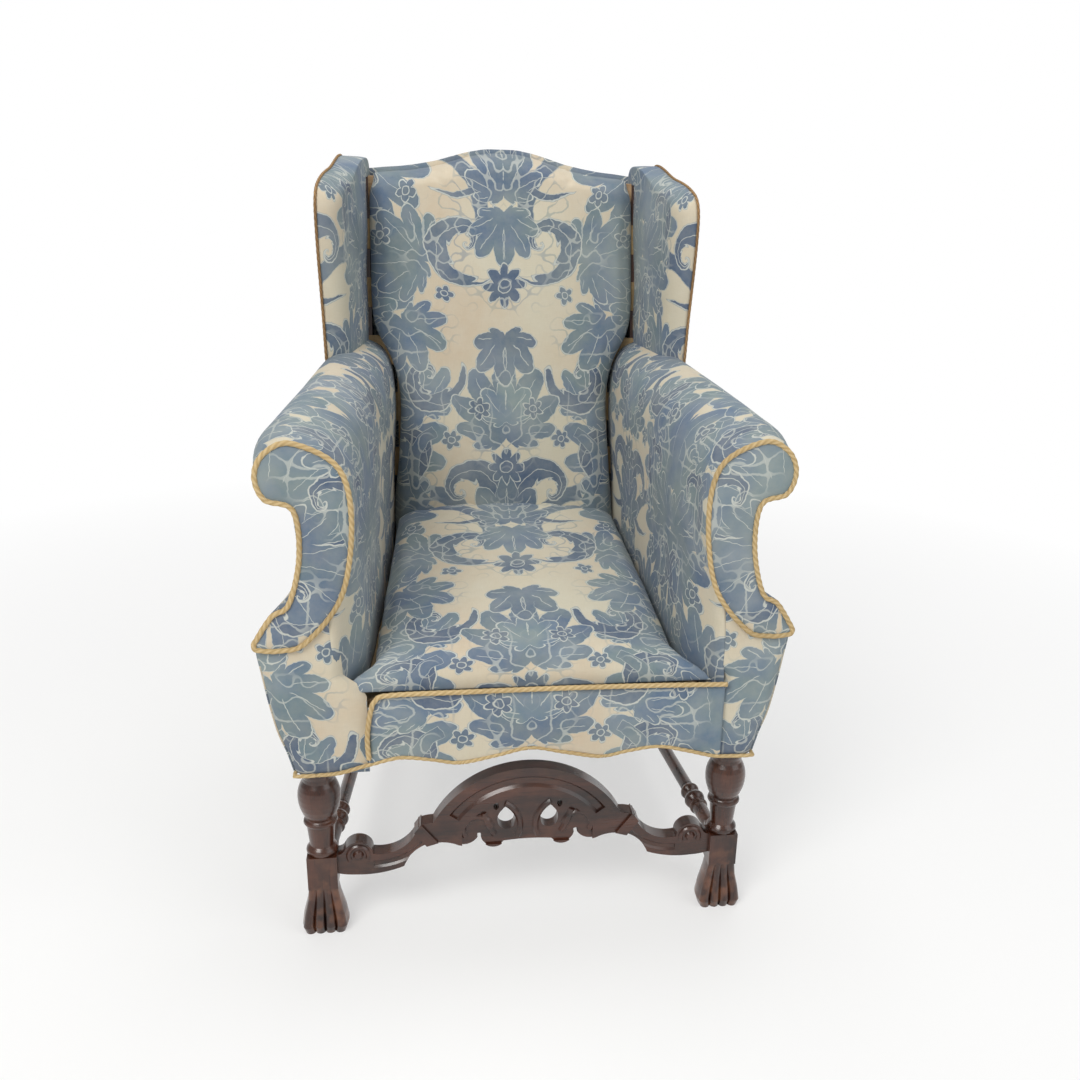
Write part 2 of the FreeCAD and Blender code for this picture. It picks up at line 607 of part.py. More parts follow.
def corner_blocks(rails, legs):
    """Notched blocks glued round the leg inside each corner, with a screw into each rail."""
    z = (RAIL_BOTTOM + 36, RAIL_TOP - 12)
    front_y = LEG_FRONT_Y + RAIL_WIDTH
    rear_y = BACK_POST_Y + BACK_POST_DEPTH * 0.62 - RAIL_WIDTH / 2
    front = [(LEG_INNER_X - 52, front_y), (LEG_INNER_X, front_y), (LEG_INNER_X, LEG_REAR_Y),
             (side_inner_x(LEG_REAR_Y), LEG_REAR_Y), (side_inner_x(LEG_REAR_Y + 48), LEG_REAR_Y + 48)]
    post_y = back_front(z[0], -1.0)
    rear = [(POST_INNER_X - 46, rear_y), (POST_INNER_X, rear_y), (POST_INNER_X, post_y),
            (side_inner_x(post_y), post_y), (side_inner_x(post_y - 44), post_y - 44)]
    lift = Vector(0, 0, z[1] - z[0])
    solids = [prism(corners(front), level(z[0]), lift).cut(legs["front_leg_right"]),
              prism(corners(rear), level(z[0]), lift).cut(legs["rear_leg_right"])]
    solids = [solid.cut(rails["side_seat_rail_right"]).cut(rails["rear_seat_rail"]) for solid in solids]
    middle = (z[0] + z[1]) / 2
    places = [
        (0, Vector(LEG_INNER_X - 34, front_y + 12, middle + 8), Vector(0, -1, 0), "front_seat_rail"),
        (1, Vector(POST_INNER_X - 28, rear_y - 12, middle + 8), Vector(0, 1, 0), "rear_seat_rail"),
        (0, Vector(side_inner_x(LEG_REAR_Y + 24) - 12, LEG_REAR_Y + 24, middle - 8), Vector(1, 0, 0),
         "side_seat_rail_right"),
        (1, Vector(side_inner_x(post_y - 22) - 12, post_y - 22, middle - 8), Vector(1, 0, 0),
         "side_seat_rail_right"),
    ]
    screws = []
    for number, head, way, rail in places:
        solid, hole = screw(head, way)
        channel = Part.makeCylinder(SCREW_HEAD + 0.2, 40, head - way * 40, way)
        solids[number] = solids[number].cut([hole, channel])
        both = [hole] if rail.startswith("side") else [hole, mirror(hole)]
        rails[rail] = rails[rail].cut(both)
        screws += [solid, mirror(solid)]
    solids = [largest(solid) for solid in solids]
    blocks = Part.makeCompound(solids + [mirror(solid) for solid in solids])
    return blocks, Part.makeCompound(screws)


# Arms

ARM_DEPTHS = (5.0, 75.0, 260.0, 592.0, 700.0)


def on_arm(share):
    """Height at a share of the way from the rail top to the top of the arm."""
    return RAIL_TOP + share * (ARM_HEIGHT - RAIL_TOP)


def arm_inner_chains():
    """Inner side and roll of the arm at each depth: seat, shoulder, top, outermost point and neck."""
    top = ARM_HEIGHT
    rise = ARM_RISE
    outer = ROLL_OUTER_X
    low = RAIL_TOP + 3
    rows = [
        [(SEAT_FRONT_X + 2, low), (SEAT_FRONT_X - 8, on_arm(0.3649)), (235, top - 105), (248, top - 32), (outer - 48, top),
         (outer - 14, top - 12), (outer, top - 41), (outer - 10, top - 72), (outer - 44, top - 87)],
        [(SEAT_MIDDLE_X + 2, low), (SEAT_MIDDLE_X + 2, on_arm(0.3649)), (232, top - 98), (247, top - 24),
         (outer - 44, top + 9), (outer - 5, top - 5), (outer + 10, top - 38), (outer, top - 70),
         (outer - 42, top - 85)],
        [(SEAT_MIDDLE_X - 7, low), (SEAT_MIDDLE_X - 9, on_arm(0.4189)), (217, top - 80), (231, top - 4),
         (outer - 70, top + rise * 0.72), (outer - 35, top + rise * 0.4), (outer - 21, top - 18),
         (outer - 30, top - 48), (outer - 61, top - 61)],
        [(SEAT_REAR_X, low), (SEAT_REAR_X - 4, on_arm(0.4189)), (SEAT_REAR_X - 9, top - 60), (210, top + 12),
         (outer - 96, top + rise), (outer - 64, top + rise - 11), (outer - 51, top - 5), (outer - 58, top - 35),
         (POST_OUTER_X + 4, top - 49)],
    ]
    return rows + rows[-1:]


def arm_outer_chains():
    """Outer side of the arm at each depth, from the neck under the roll to the hem."""
    top = ARM_HEIGHT
    outer = ROLL_OUTER_X
    hem = RAIL_BOTTOM - 2
    hem_x = [side_outer_x(depth) + SIDE_CLEAR for depth in ARM_DEPTHS]
    rows = [
        [(outer - 44, top - 87), (outer - 48, on_arm(0.5946)), (outer - 31, on_arm(0.4189)), (outer - 8, on_arm(0.373)), (outer + 15, on_arm(0.2622)),
         (outer + 11, on_arm(0.1216)), (hem_x[0] + 21, hem + 69), (hem_x[0] + 9, hem + 31), (hem_x[0], hem)],
        [(outer - 42, top - 85), (outer - 47, on_arm(0.5946)), (outer - 36, on_arm(0.4189)), (outer - 16, on_arm(0.3514)), (outer + 6, on_arm(0.2432)),
         (outer + 3, on_arm(0.1216)), (hem_x[1] + 18, hem + 69), (hem_x[1] + 9, hem + 31), (hem_x[1], hem)],
        [(outer - 61, top - 61), (outer - 60, on_arm(0.6351)), (outer - 51, on_arm(0.4189)), (outer - 45, on_arm(0.3378)), (outer - 38, on_arm(0.2432)),
         (outer - 38, on_arm(0.1081)), (hem_x[2] + 5, hem + 69), (hem_x[2] + 3, hem + 34), (hem_x[2], hem)],
        [(POST_OUTER_X + 4, top - 49), (POST_OUTER_X + 4, on_arm(0.6351)), (POST_OUTER_X + 4.2, on_arm(0.4189)),
         (POST_OUTER_X + 4.3, on_arm(0.3324)), (POST_OUTER_X + 4.4, on_arm(0.2432)), (POST_OUTER_X + 4.4, on_arm(0.07297)),
         (POST_OUTER_X + 4.5, hem + 69), (POST_OUTER_X + 4.5, hem + 34), (hem_x[3], hem)],
    ]
    return rows + rows[-1:]


def arm_loft(outlines, depths=ARM_DEPTHS):
    return loft([wire(outline, upright(depth)) for outline, depth in zip(outlines, depths)])


def arm_chain(chains, depth):
    """Chain at a depth between two of the given ones."""
    index = max(i for i in range(len(ARM_DEPTHS) - 1) if ARM_DEPTHS[i] <= depth)
    start = ARM_DEPTHS[index]
    share = (depth - start) / (ARM_DEPTHS[index + 1] - start)
    return between(chains[index], chains[index + 1], share)


def arm_from(chains, depth):
    """Depths and chains from a first depth to the rear."""
    depths = [depth] + [row for row in ARM_DEPTHS if row > depth]
    return depths, [arm_chain(chains, row) if row < ARM_DEPTHS[-1] else chains[-1] for row in depths]


def behind_back(x_post):
    """Space that the arm keeps out of: behind the posts' front faces as far as x_post, and behind the chair."""
    rows = []
    for reach, line, offset in ((x_post, back_front, -BACK_CLEAR), (500, back_rear, -SOFT_GAP)):
        outline = corners([(line(0, offset), 0), (line(1200, offset), 1200), (1000, 1200), (1000, 0)])
        rows.append(prism(outline, sideways(0), Vector(reach, 0, 0)))
    return rows


def arm_rail_plank(grow):
    """Arm rail from the front post to the back post, thicker all round by grow."""
    z = (ARM_RAIL_BOTTOM - grow, ARM_RAIL_BOTTOM + ARM_RAIL_HEIGHT + grow)
    return plank(ARM_RAIL_START, ARM_RAIL_END, ARM_RAIL_WIDTH + 2 * grow, z, grow)


def arm_envelope(shrink):
    """The whole arm as one closed form, each wall moved in by shrink, down to the seat rail."""
    outlines = []
    for inner, outer in zip(arm_inner_chains(), arm_outer_chains()):
        closing = [(outer[-1][0] - 30, outer[-1][1]), (inner[0][0] + 35, outer[-1][1]),
                   (inner[0][0] + 2, (inner[0][1] + outer[-1][1]) / 2 + 20)]
        outline = inner + outer[1:] + [closing[0], closing[1], closing[2]]
        outlines.append(moved_in(outline, shrink))
    return arm_loft(outlines)


def arm_rail_faces(depth):
    """Inner and outer face of the arm rail and inner face of the tack rail at a depth, with a gap."""
    share = (depth - POST_REAR_Y) / (ARM_RAIL_END[1] - POST_REAR_Y)
    rail_x = ARM_RAIL_START[0] + (ARM_RAIL_END[0] - ARM_RAIL_START[0]) * share
    share = (depth - POST_REAR_Y) / (TACK_RAIL_END[1] - POST_REAR_Y)
    tack_x = TACK_RAIL_START[0] + (TACK_RAIL_END[0] - TACK_RAIL_START[0]) * share
    return (rail_x - ARM_RAIL_WIDTH / 2 - SHEET_GAP, rail_x + ARM_RAIL_WIDTH / 2 + SHEET_GAP,
            tack_x - TACK_RAIL_WIDTH / 2 - SHEET_GAP - 0.6)


def arm_front_outline(seam, depth):
    """Closed outline of the arm front at a depth, from the seam of the seat front to the outer side."""
    foot = RAIL_BOTTOM + 2
    inner = arm_chain(arm_inner_chains(), depth)
    outer = arm_chain(arm_outer_chains(), depth)
    side = max(seam, inner[0][0])
    outline = [(seam, foot), (seam, (foot + CORNER_TOP) / 2)]
    outline += [(seam, CORNER_TOP), ((seam + side) / 2, CORNER_TOP)] if seam < side else []
    outline += [(side, CORNER_TOP), halfway((side, CORNER_TOP), inner[1]), inner[1],
                halfway(inner[1], inner[2])] + inner[2:] + outer[1:7]
    return outline + [(LEG_OUTER_X + 13, foot + 30), (LEG_OUTER_X + SIDE_CLEAR, foot), (LEG_OUTER_X - 10, foot)]


def facing_outline(grow=0.0):
    """Scroll-shaped front panel of the arm."""
    outer = ROLL_OUTER_X
    top = ARM_HEIGHT
    points = [
        (outer - 50, on_arm(0.2703)), (outer - 99, on_arm(0.4459)), (235, top - 105), (248, top - 32), (outer - 48, top),
        (outer - 14, top - 12), (outer, top - 41), (outer - 10, top - 72), (outer - 44, top - 87),
        (outer - 48, on_arm(0.5946)), (outer - 31, on_arm(0.4189)), (outer - 8, on_arm(0.373)), (outer + 15, on_arm(0.2784)), (outer + 17, on_arm(0.2595)),
        (outer + 13, on_arm(0.2459)), (outer - 16, on_arm(0.2405)),
    ]
    return moved_in(points, -grow)


def octagon(reach):
    """Offsets across and along a cord's section, for a loft through four bands."""
    small = reach * 0.42
    return [(-reach, small), (-small, reach), (small, reach), (reach, small)]


def ring_cord(outline, y):
    """Cord that runs round a closed outline in an upright plane."""
    outside = [wire(moved_in(outline, -wide), upright(y + off)) for off, wide in octagon(PIPING_RADIUS)]
    inside = [wire(moved_in(outline, wide), upright(y + off)) for off, wide in octagon(PIPING_RADIUS)]
    hole_front = wire(moved_in(outline, octagon(PIPING_RADIUS)[0][1]), upright(y - PIPING_RADIUS - 1))
    hole_rear = wire(moved_in(outline, octagon(PIPING_RADIUS)[0][1]), upright(y + PIPING_RADIUS + 1))
    return loft(outside).cut(loft([hole_front] + inside + [hole_rear]))


def open_cord(chain, place_at, radius=PIPING_RADIUS):
    """Cord along an open chain: place_at(offset) gives the plane for each of four bands."""
    wires = [wire(band(chain, -wide, wide), place_at(off)) for off, wide in octagon(radius)]
    return loft(wires)


def build_arms(legs):
    """Posts, rails, stuffing, covers, facings and piping of both arms."""
    chains = arm_inner_chains()
    outers = arm_outer_chains()
    rear_spaces = behind_back(POST_OUTER_X + SOFT_GAP)
    # Timber
    post_line = chains[0] + outers[0][1:7] + [(LEG_OUTER_X - 10, RAIL_TOP), (LEG_INNER_X + 8, RAIL_TOP),
                                              (LEG_INNER_X - 2, RAIL_TOP + 20)]
    trim = box((LEG_INNER_X + 1, 500), (0, 100), (RAIL_TOP, ARM_HEIGHT)).fuse(
        box((200, 500), (0, 100), (on_arm(0.257), ARM_HEIGHT)))
    post = prism(moved_in(post_line, POST_PAD), upright(LEG_FRONT_Y), Vector(0, ARM_POST_DEPTH, 0)).common(trim)
    post = post.removeSplitter()
    rail_z = (ARM_RAIL_BOTTOM, ARM_RAIL_BOTTOM + ARM_RAIL_HEIGHT)
    rail = largest(arm_rail_plank(0).cut([legs["rear_leg_right"], post]))
    tenon_z = (rail_z[0] + 8, rail_z[1] - 8)
    tenon = plank(ARM_RAIL_START, ARM_RAIL_END, TENON_THICKNESS, tenon_z, TENON_LENGTH - 2)
    grown = plank(ARM_RAIL_START, ARM_RAIL_END, TENON_THICKNESS + 2 * TENON_GAP,
                  (tenon_z[0] - TENON_GAP, tenon_z[1] + TENON_GAP), TENON_LENGTH - 2 + TENON_GAP)
    post = post.cut(grown)
    tack_z = (RAIL_TOP, RAIL_TOP + TACK_RAIL_HEIGHT)
    tack = largest(plank(TACK_RAIL_START, TACK_RAIL_END, TACK_RAIL_WIDTH, tack_z).cut([legs["rear_leg_right"], post]))
    for key in legs:
        if key.startswith("rear"):
            legs[key] = legs[key].cut([grown, mirror(grown)])
    keep_pair("arm_front_post", post)
    keep_pair("arm_rail", rail.fuse(tenon).removeSplitter())
    keep("arm_tack_rails", Part.makeCompound([tack, mirror(tack)]))
    # Hessian on the inner faces of the two rails, and stuffing from there round the rail to the neck
    hessian_wires = []
    for depth in (POST_REAR_Y + 1, BACK_POST_Y - 2):
        rail_in, rail_out, tack_in = arm_rail_faces(depth)
        sheet = [(tack_in - CANVAS, tack_z[0] + 4), (rail_in - CANVAS, rail_z[0] + 16), (rail_in, rail_z[0] + 16),
                 (tack_in, tack_z[0] + 4)]
        hessian_wires.append(wire(corners(sheet), upright(depth)))
    hessian = loft(hessian_wires)
    keep("arm_hessians", Part.makeCompound([hessian, mirror(hessian)]))
    pad_y = POST_REAR_Y + SOFT_GAP
    depths, rows = arm_from(chains, pad_y)
    outlines = []
    for depth, chain in zip(depths, rows):
        skin = moved_in(chain, COVER + SOFT_GAP, closed=False)
        rail_in, rail_out, tack_in = arm_rail_faces(depth)
        sheet = CANVAS + SOFT_GAP
        inner = [skin[-1], (rail_out, rail_z[0] + 2), (rail_out, rail_z[1] + SHEET_GAP),
                 (rail_in - sheet, rail_z[1] + SHEET_GAP), (tack_in - sheet, tack_z[0] + 2), skin[0]]
        outline = list(skin)
        for i in range(1, len(inner) - 1):
            outline += [halfway(inner[i - 1], inner[i]), inner[i]]
        outlines.append(outline + [halfway(inner[-2], inner[-1])])
    wing_room = wing_post_board(SOFT_GAP)
    pad = largest(arm_loft(outlines, depths).cut(rear_spaces + [wing_room]))
    # Covers
    depths, rows = arm_from(chains, ARM_FRONT_Y + COVER + SOFT_GAP)
    cover = arm_loft([band(chain, 0, COVER) for chain in rows], depths).cut(rear_spaces + [wing_room])
    keep_pair("inside_arm_cover", cover)
    rear_cut = corners([(back_rear(0, SOFT_GAP + COVER), 0), (back_rear(1200, SOFT_GAP + COVER), 1200), (1000, 1200),
                        (1000, 0)])
    outer = arm_loft([band(chain, 0, COVER) for chain in outers])
    outer = outer.cut([box((0, 500), (-20, 800), (0, SIDE_CORD_Z + HEM_CORD_RADIUS + SOFT_GAP)),
                       prism(rear_cut, sideways(0), Vector(500, 0, 0))])
    # Padded front below and around the facing
    for side, seam in (("_right", RIGHT_SEAM_X), ("_left", LEFT_SEAM_X)):
        ends = (ARM_FRONT_Y + COVER + SOFT_GAP, LEG_FRONT_Y - SOFT_GAP)
        stuffing = arm_loft([moved_in(arm_front_outline(seam, depth), COVER + SOFT_GAP) for depth in ends], ends)
        facing_room = prism(facing_outline(1.0), upright(0), Vector(0, 20, 0))
        skin = prism(arm_front_outline(seam, ARM_FRONT_Y), upright(ARM_FRONT_Y), Vector(0, COVER, 0)).cut(facing_room)
        for name, shape in (("arm_stuffing", Part.makeCompound([pad, stuffing])),
                            ("outside_arm_cover", outer.fuse(largest(skin)))):
            keep(name + side, shape if side == "_right" else mirror(shape))
    # Facing and its piping
    facing_wires = [wire(moved_in(facing_outline(), inset), upright(depth)) for depth, inset in
                    ((-1.5, 6.0), (0.0, 4.6), (4.8, 4.2))]
    keep_pair("arm_facing", loft(facing_wires))
    keep_pair("facing_piping", ring_cord(facing_outline(), 1.2))


# Wings

def wing_outline():
    """Side view of the wing as (y, z): front edge, rounded top corner, top, and the rear along the back."""
    low = ARM_HEIGHT - 15
    top = CREST_HEIGHT - BACK_LOW_DROP + 6
    front = WING_FRONT_Y
    rear_top = (back_rear(top, -0.6), top)
    rear_low = (back_rear(low, -0.6), low)
    return [
        (front + 42, low), (front + 18, low + 0.35 * (top - low)), (front + 1, top - 108), (front + 5, top - 50),
        (front + 44, top - 26), (front + 130, top - 11), rear_top, halfway(rear_top, rear_low), rear_low,
        halfway(rear_low, (front + 42, low)),
    ]


def wing_envelope(shrink, outer_offset):
    """Padded wing as sections from its crowned inner side to its flat outer side."""
    middle = ((WING_FRONT_Y + BACK_POST_Y + 120) / 2, (ARM_HEIGHT + CREST_HEIGHT) / 2 - 10)
    reach = ((BACK_POST_Y + 130 - WING_FRONT_Y) / 2, (CREST_HEIGHT - ARM_HEIGHT) / 2)
    outline = moved_in(wing_outline(), shrink)
    rows = [(0.0, 13.0), (5.0, 4.0), (18.0, 0.0)]
    wires = []
    for offset, inset in rows:
        x = WING_INNER_X + shrink + offset
        wires.append(wire(drawn_in(outline, inset, reach, middle), sideways(x, -WING_INNER_SLOPE, WING_FRONT_Y)))
    wires.append(wire(outline, sideways(WING_OUTER_X + outer_offset, -WING_OUTER_SLOPE, WING_FRONT_Y)))
    return loft(wires)


def wing_post_board(grow):
    """Upright sawn board at the front of the wing, lapped on the outer face of the arm rail."""
    front = WING_FRONT_Y + 16
    low = ARM_HEIGHT - 55 - grow
    top = CREST_HEIGHT - 82 + grow
    middle = low + 0.483 * (top - low)
    outline = [(front + 28 - grow, low), (front + 14 - grow, middle), (front - grow, top - 40),
               (front + 5 - grow, top - 12), (front + 30, top), (front + 42, top), (front + 52 + grow, top),
               (front + 58 + grow, middle), (front + 70 + grow, low), (front + 45, low)]
    thick = WING_BOARD + 2 * grow
    return prism(outline, sideways(WING_OUTER_X - WING_CLEAR - WING_BOARD - grow, -WING_OUTER_SLOPE, WING_FRONT_Y),
                 Vector(thick, 0, 0))


def build_wings(legs):
    """Sawn frame, stuffing, inner and outer covers and edge piping of both wings."""
    post = wing_post_board(0.0).cut(arm_rail_plank(SHEET_GAP))
    x0 = WING_OUTER_X - WING_CLEAR - WING_BOARD
    top = CREST_HEIGHT - 82
    front = WING_FRONT_Y + 16 + 52
    high = top
    low = top - 36
    ends = [(front - 20, low), (front - 20, high), (back_front(high, 5), high), (back_front(low, 5), low)]
    rail = prism(corners(ends), sideways(x0, -WING_OUTER_SLOPE, WING_FRONT_Y), Vector(WING_BOARD, 0, 0))
    grown_ends = [(front - 20, low - SOFT_GAP), (front - 20, high + SOFT_GAP), (back_front(high, 5), high + SOFT_GAP),
                  (back_front(low, 5), low - SOFT_GAP)]
    rail_room = prism(corners(grown_ends), sideways(x0 - SOFT_GAP, -WING_OUTER_SLOPE, WING_FRONT_Y),
                      Vector(WING_BOARD + 2 * SOFT_GAP, 0, 0))
    rail = rail.cut([post, legs["rear_leg_right"]])
    keep_pair("wing_post", post)
    keep_pair("wing_rail", largest(rail))
    arm_room = arm_envelope(-SOFT_GAP)
    over_post = BACK_POST_TOP + SOFT_GAP
    under = ARM_HEIGHT - 155
    post_side = [(back_front(under, -BACK_CLEAR), under), (back_front(over_post, -BACK_CLEAR), over_post),
                 (900, over_post), (900, under)]
    rail_side = [(back_front(under, -BACK_CLEAR), under), (back_front(1400, -BACK_CLEAR), 1400), (900, 1400),
                 (900, under)]
    leg_room = prism(corners(post_side), sideways(0), Vector(POST_OUTER_X + SOFT_GAP, 0, 0))
    leg_room = leg_room.fuse(prism(corners(rail_side), sideways(0), Vector(POST_INNER_X + 1, 0, 0)))
    open_side = prism(corners([(WING_FRONT_Y + 66, under), (WING_FRONT_Y + 66, low - 2),
                               (back_front(low, 40), low - 2), (back_front(under, 40), under)]),
                      sideways(x0 + 2, -WING_OUTER_SLOPE, WING_FRONT_Y), Vector(60, 0, 0))
    body = wing_envelope(COVER + SOFT_GAP, -COVER - SOFT_GAP)
    stuffing = body.cut([arm_room, leg_room, wing_post_board(SOFT_GAP), rail_room, open_side])
    keep_pair("wing_stuffing", largest(stuffing))
    cover = wing_envelope(0, -COVER - SOFT_GAP / 2).cut(wing_envelope(COVER, 4.0)).cut([arm_room, leg_room])
    keep_pair("inside_wing_cover", largest(cover))
    outer = prism(wing_outline(), sideways(WING_OUTER_X - COVER, -WING_OUTER_SLOPE, WING_FRONT_Y), Vector(COVER, 0, 0))
    outer = outer.cut(arm_room)
    keep_pair("outside_wing_cover", largest(outer))
    chain = moved_in(wing_outline(), -PIPING_RADIUS * 0.8)[:7]
    chain = [(chain[0][0] + 2, ARM_HEIGHT + 40)] + chain[1:]
    cord = open_cord(chain, lambda off: sideways(WING_OUTER_X + off, -WING_OUTER_SLOPE, WING_FRONT_Y),
                     PIPING_RADIUS * 0.75)
    cord = cord.cut([arm_room, wing_envelope(-SOFT_GAP, 3.0)])
    keep_pair("wing_piping", largest(cord))


# Back

def camel_top(drop=0.0):
    """Hump and hollows of the back's upper edge, from the left shoulder to the middle of the crest."""
    crest = CREST_HEIGHT - drop
    return [(-205, crest - BACK_LOW_DROP), (-146, crest - BACK_LOW_DROP + 7), (-85, crest - SHOULDER_DROP), (0, crest)]


def back_outline():
    """Inside back in front view: it narrows between the arms and widens between the wings."""
    waist = SEAT_REAR_X - 15
    wing = BACK_PAD_X
    low = RAIL_TOP + 7
    over_arm = ARM_HEIGHT + 75
    shoulder = CREST_HEIGHT - BACK_LOW_DROP - 7
    half = [(-SEAT_REAR_X + 2, low), (-SEAT_REAR_X + 6, on_arm(0.473)), (-waist, ARM_HEIGHT - 65),
            (-waist - 7, ARM_HEIGHT + 5), (-wing + 1, over_arm), (-wing - 1, over_arm + 0.46 * (shoulder - over_arm)),
            (-wing - 2, shoulder - 18), (-wing + 3, shoulder)]
    return mirrored(half + camel_top()) + [(0, low)]


def back_envelope(shrink, rear_offset):
    """Inside back as leaning sections, from its crowned front to the rear face of the posts."""
    middle = (0, (RAIL_TOP + CREST_HEIGHT) / 2)
    reach = (BACK_PAD_X, (CREST_HEIGHT - RAIL_TOP) / 2)
    outline = moved_in(back_outline(), shrink)
    rows = [
        (BACK_PAD_Y + shrink, BACK_PAD_LEAN, 36.0),
        (BACK_PAD_Y + 6 + shrink, BACK_PAD_LEAN, 13.0),
        (BACK_PAD_Y + 24, BACK_PAD_LEAN * 0.97, 0.6),
    ]
    wires = [wire(drawn_in(outline, inset, reach, middle), upright(y, lean, BACK_PAD_LEVEL))
             for y, lean, inset in rows]
    rear = [(a * 0.955, b) for a, b in outline]
    wires.append(wire(rear, upright(back_rear(BACK_PAD_LEVEL, rear_offset), BACK_REAR_LEAN, BACK_PAD_LEVEL)))
    return loft(wires)


def lean_slab(outline, offset, thickness):
    """Flat leaning sheet in front of the back posts: offset is measured from their front faces."""
    wires = [wire(outline, upright(back_front(0, offset + step), BACK_POST_LEAN, 0)) for step in (0, thickness)]
    return loft(wires)


def build_back(legs):
    """Top and lower rails, webbing, hessian, stuffing and covers of the back."""
    edge = camel_top(SHOULDER_DROP)
    low = CREST_HEIGHT - BACK_LOW_DROP - SHOULDER_DROP - TOP_RAIL_HEIGHT
    half = [(-POST_INNER_X, low), (-POST_INNER_X, low + 35), (-POST_INNER_X, edge[0][1] - 1),
            (-218, edge[0][1] - 0.5)] + edge
    top_outline = mirrored(half) + [(0, low)]
    top_rail = lean_slab(top_outline, 8.0, TOP_RAIL_DEPTH)
    tenon = lean_slab(corners([(-POST_INNER_X - TENON_LENGTH, low + 12), (-POST_INNER_X - TENON_LENGTH, low + 56),
                               (POST_INNER_X + TENON_LENGTH, low + 56), (POST_INNER_X + TENON_LENGTH, low + 12)]),
                      16.0, TENON_THICKNESS)
    socket = lean_slab(corners([(-POST_INNER_X - TENON_LENGTH - 1, low + 11.8),
                                (-POST_INNER_X - TENON_LENGTH - 1, low + 56.2),
                                (POST_INNER_X + TENON_LENGTH + 1, low + 56.2),
                                (POST_INNER_X + TENON_LENGTH + 1, low + 11.8)]), 15.8, TENON_THICKNESS + 0.4)
    lower_z = (RAIL_TOP + 18, RAIL_TOP + 62)
    lower = lean_slab(corners([(-POST_INNER_X, lower_z[0]), (-POST_INNER_X, lower_z[1]), (POST_INNER_X, lower_z[1]),
                               (POST_INNER_X, lower_z[0])]), 6.0, TOP_RAIL_DEPTH)
    for key in legs:
        if key.startswith("rear"):
            legs[key] = legs[key].cut(socket)
    keep("top_back_rail", top_rail.fuse(tenon).removeSplitter())
    keep("lower_back_rail", lower)
    # Webbing on the fronts of the rails and posts, and hessian over it
    straps = []
    reach = POST_INNER_X + 12
    for number in range(6):
        z = RAIL_TOP + BACK_STRAP_FIRST + BACK_STRAP_STEP * number
        straps.append(lean_slab(corners([(-reach, z), (-reach, z + WEBBING_WIDTH), (reach, z + WEBBING_WIDTH),
                                         (reach, z)]), -WEBBING_THICKNESS, WEBBING_THICKNESS))
    for number in range(4):
        x = -150 + 100 * number
        straps.append(lean_slab(corners([(x - 25, lower_z[0]), (x - 25, low + 45), (x + 25, low + 45),
                                         (x + 25, lower_z[0])]), -2 * WEBBING_THICKNESS, WEBBING_THICKNESS))
    keep("back_webbing", Part.makeCompound(straps))
    hessian = corners([(-SEAT_REAR_X + 16, RAIL_TOP + 10), (-SEAT_REAR_X + 16, low + 55), (SEAT_REAR_X - 16, low + 55),
                       (SEAT_REAR_X - 16, RAIL_TOP + 10)])
    keep("back_hessian", lean_slab(hessian, -2 * WEBBING_THICKNESS - CANVAS, CANVAS))
    # Stuffing fills the front and rolls over the top rail
    rail_top = camel_top(SHOULDER_DROP - SOFT_GAP)
    hollow_half = [(-330, 300), (-330, 700), (-330, rail_top[0][1]), (-260, rail_top[0][1])] + rail_top
    hollow = mirrored(hollow_half) + [(0, 300)]
    room = lean_slab(hollow, -2 * WEBBING_THICKNESS - CANVAS - SOFT_GAP, 120.0)
    stuffing = back_envelope(COVER + SOFT_GAP, -SOFT_GAP).cut(room)
    keep("back_stuffing", largest(stuffing))
    cover = back_envelope(0, 0).cut(back_envelope(COVER, 4.0)).cut(room)
    keep("inside_back_cover", largest(cover))
    side = POST_OUTER_X + SIDE_CLEAR - COVER - 3 * SOFT_GAP
    wing_top = CREST_HEIGHT - BACK_LOW_DROP + 5
    neck_x, neck_z = arm_inner_chains()[3][8]
    roll_x, roll_z = arm_inner_chains()[3][6]

    def wing_side(z):
        """Outer side of the wing at its rear edge."""
        return WING_OUTER_X - WING_OUTER_SLOPE * (back_rear(z) - WING_FRONT_Y)

    middle = (roll_z + wing_top) / 2
    half = [(-side, RAIL_BOTTOM), (-side, (RAIL_BOTTOM + neck_z) / 2), (-side, neck_z),
            (-roll_x + 8, neck_z + 12), (-roll_x, roll_z),
            (-roll_x + 7, roll_z + 23), (-wing_side(roll_z + 38), roll_z + 38), (-wing_side(middle), middle),
            (-wing_side(wing_top), wing_top - 16), (-wing_side(wing_top) + 4, wing_top - 4),
            (-wing_side(wing_top) + 17, wing_top), (-236, wing_top - 2)] + camel_top(1.0)
    panel = mirrored(half) + [(0, RAIL_BOTTOM)]
    wires = [wire(panel, upright(back_rear(0, offset), BACK_REAR_LEAN, 0)) for offset in (SOFT_GAP, SOFT_GAP + COVER)]
    keep("outside_back_cover", loft(wires))


# Seat

def seat_outline(z, shrink=0.0):
    """Seat in plan at a height: it widens in front of the arms and stops at the inside back."""
    rear = pad_front(z) - 1.5
    front = SEAT_FRONT_X - SEAT_SIDE_GAP
    edge = [(-front, 4.0), (-SEAT_MIDDLE_X + SEAT_SIDE_GAP, ARM_DEPTHS[1]),
            (-SEAT_MIDDLE_X + 7 + SEAT_SIDE_GAP, ARM_DEPTHS[2]), (-SEAT_REAR_X + SEAT_SIDE_GAP + 1, rear)]
    half = edge[:1]
    for before, after in zip(edge, edge[1:]):
        half += [halfway(before, after), after]
    outline = mirrored(half + [(0, rear)]) + [(0, 1.0)]
    return drawn_in(outline, shrink, (front, rear / 2), (0, rear / 2))


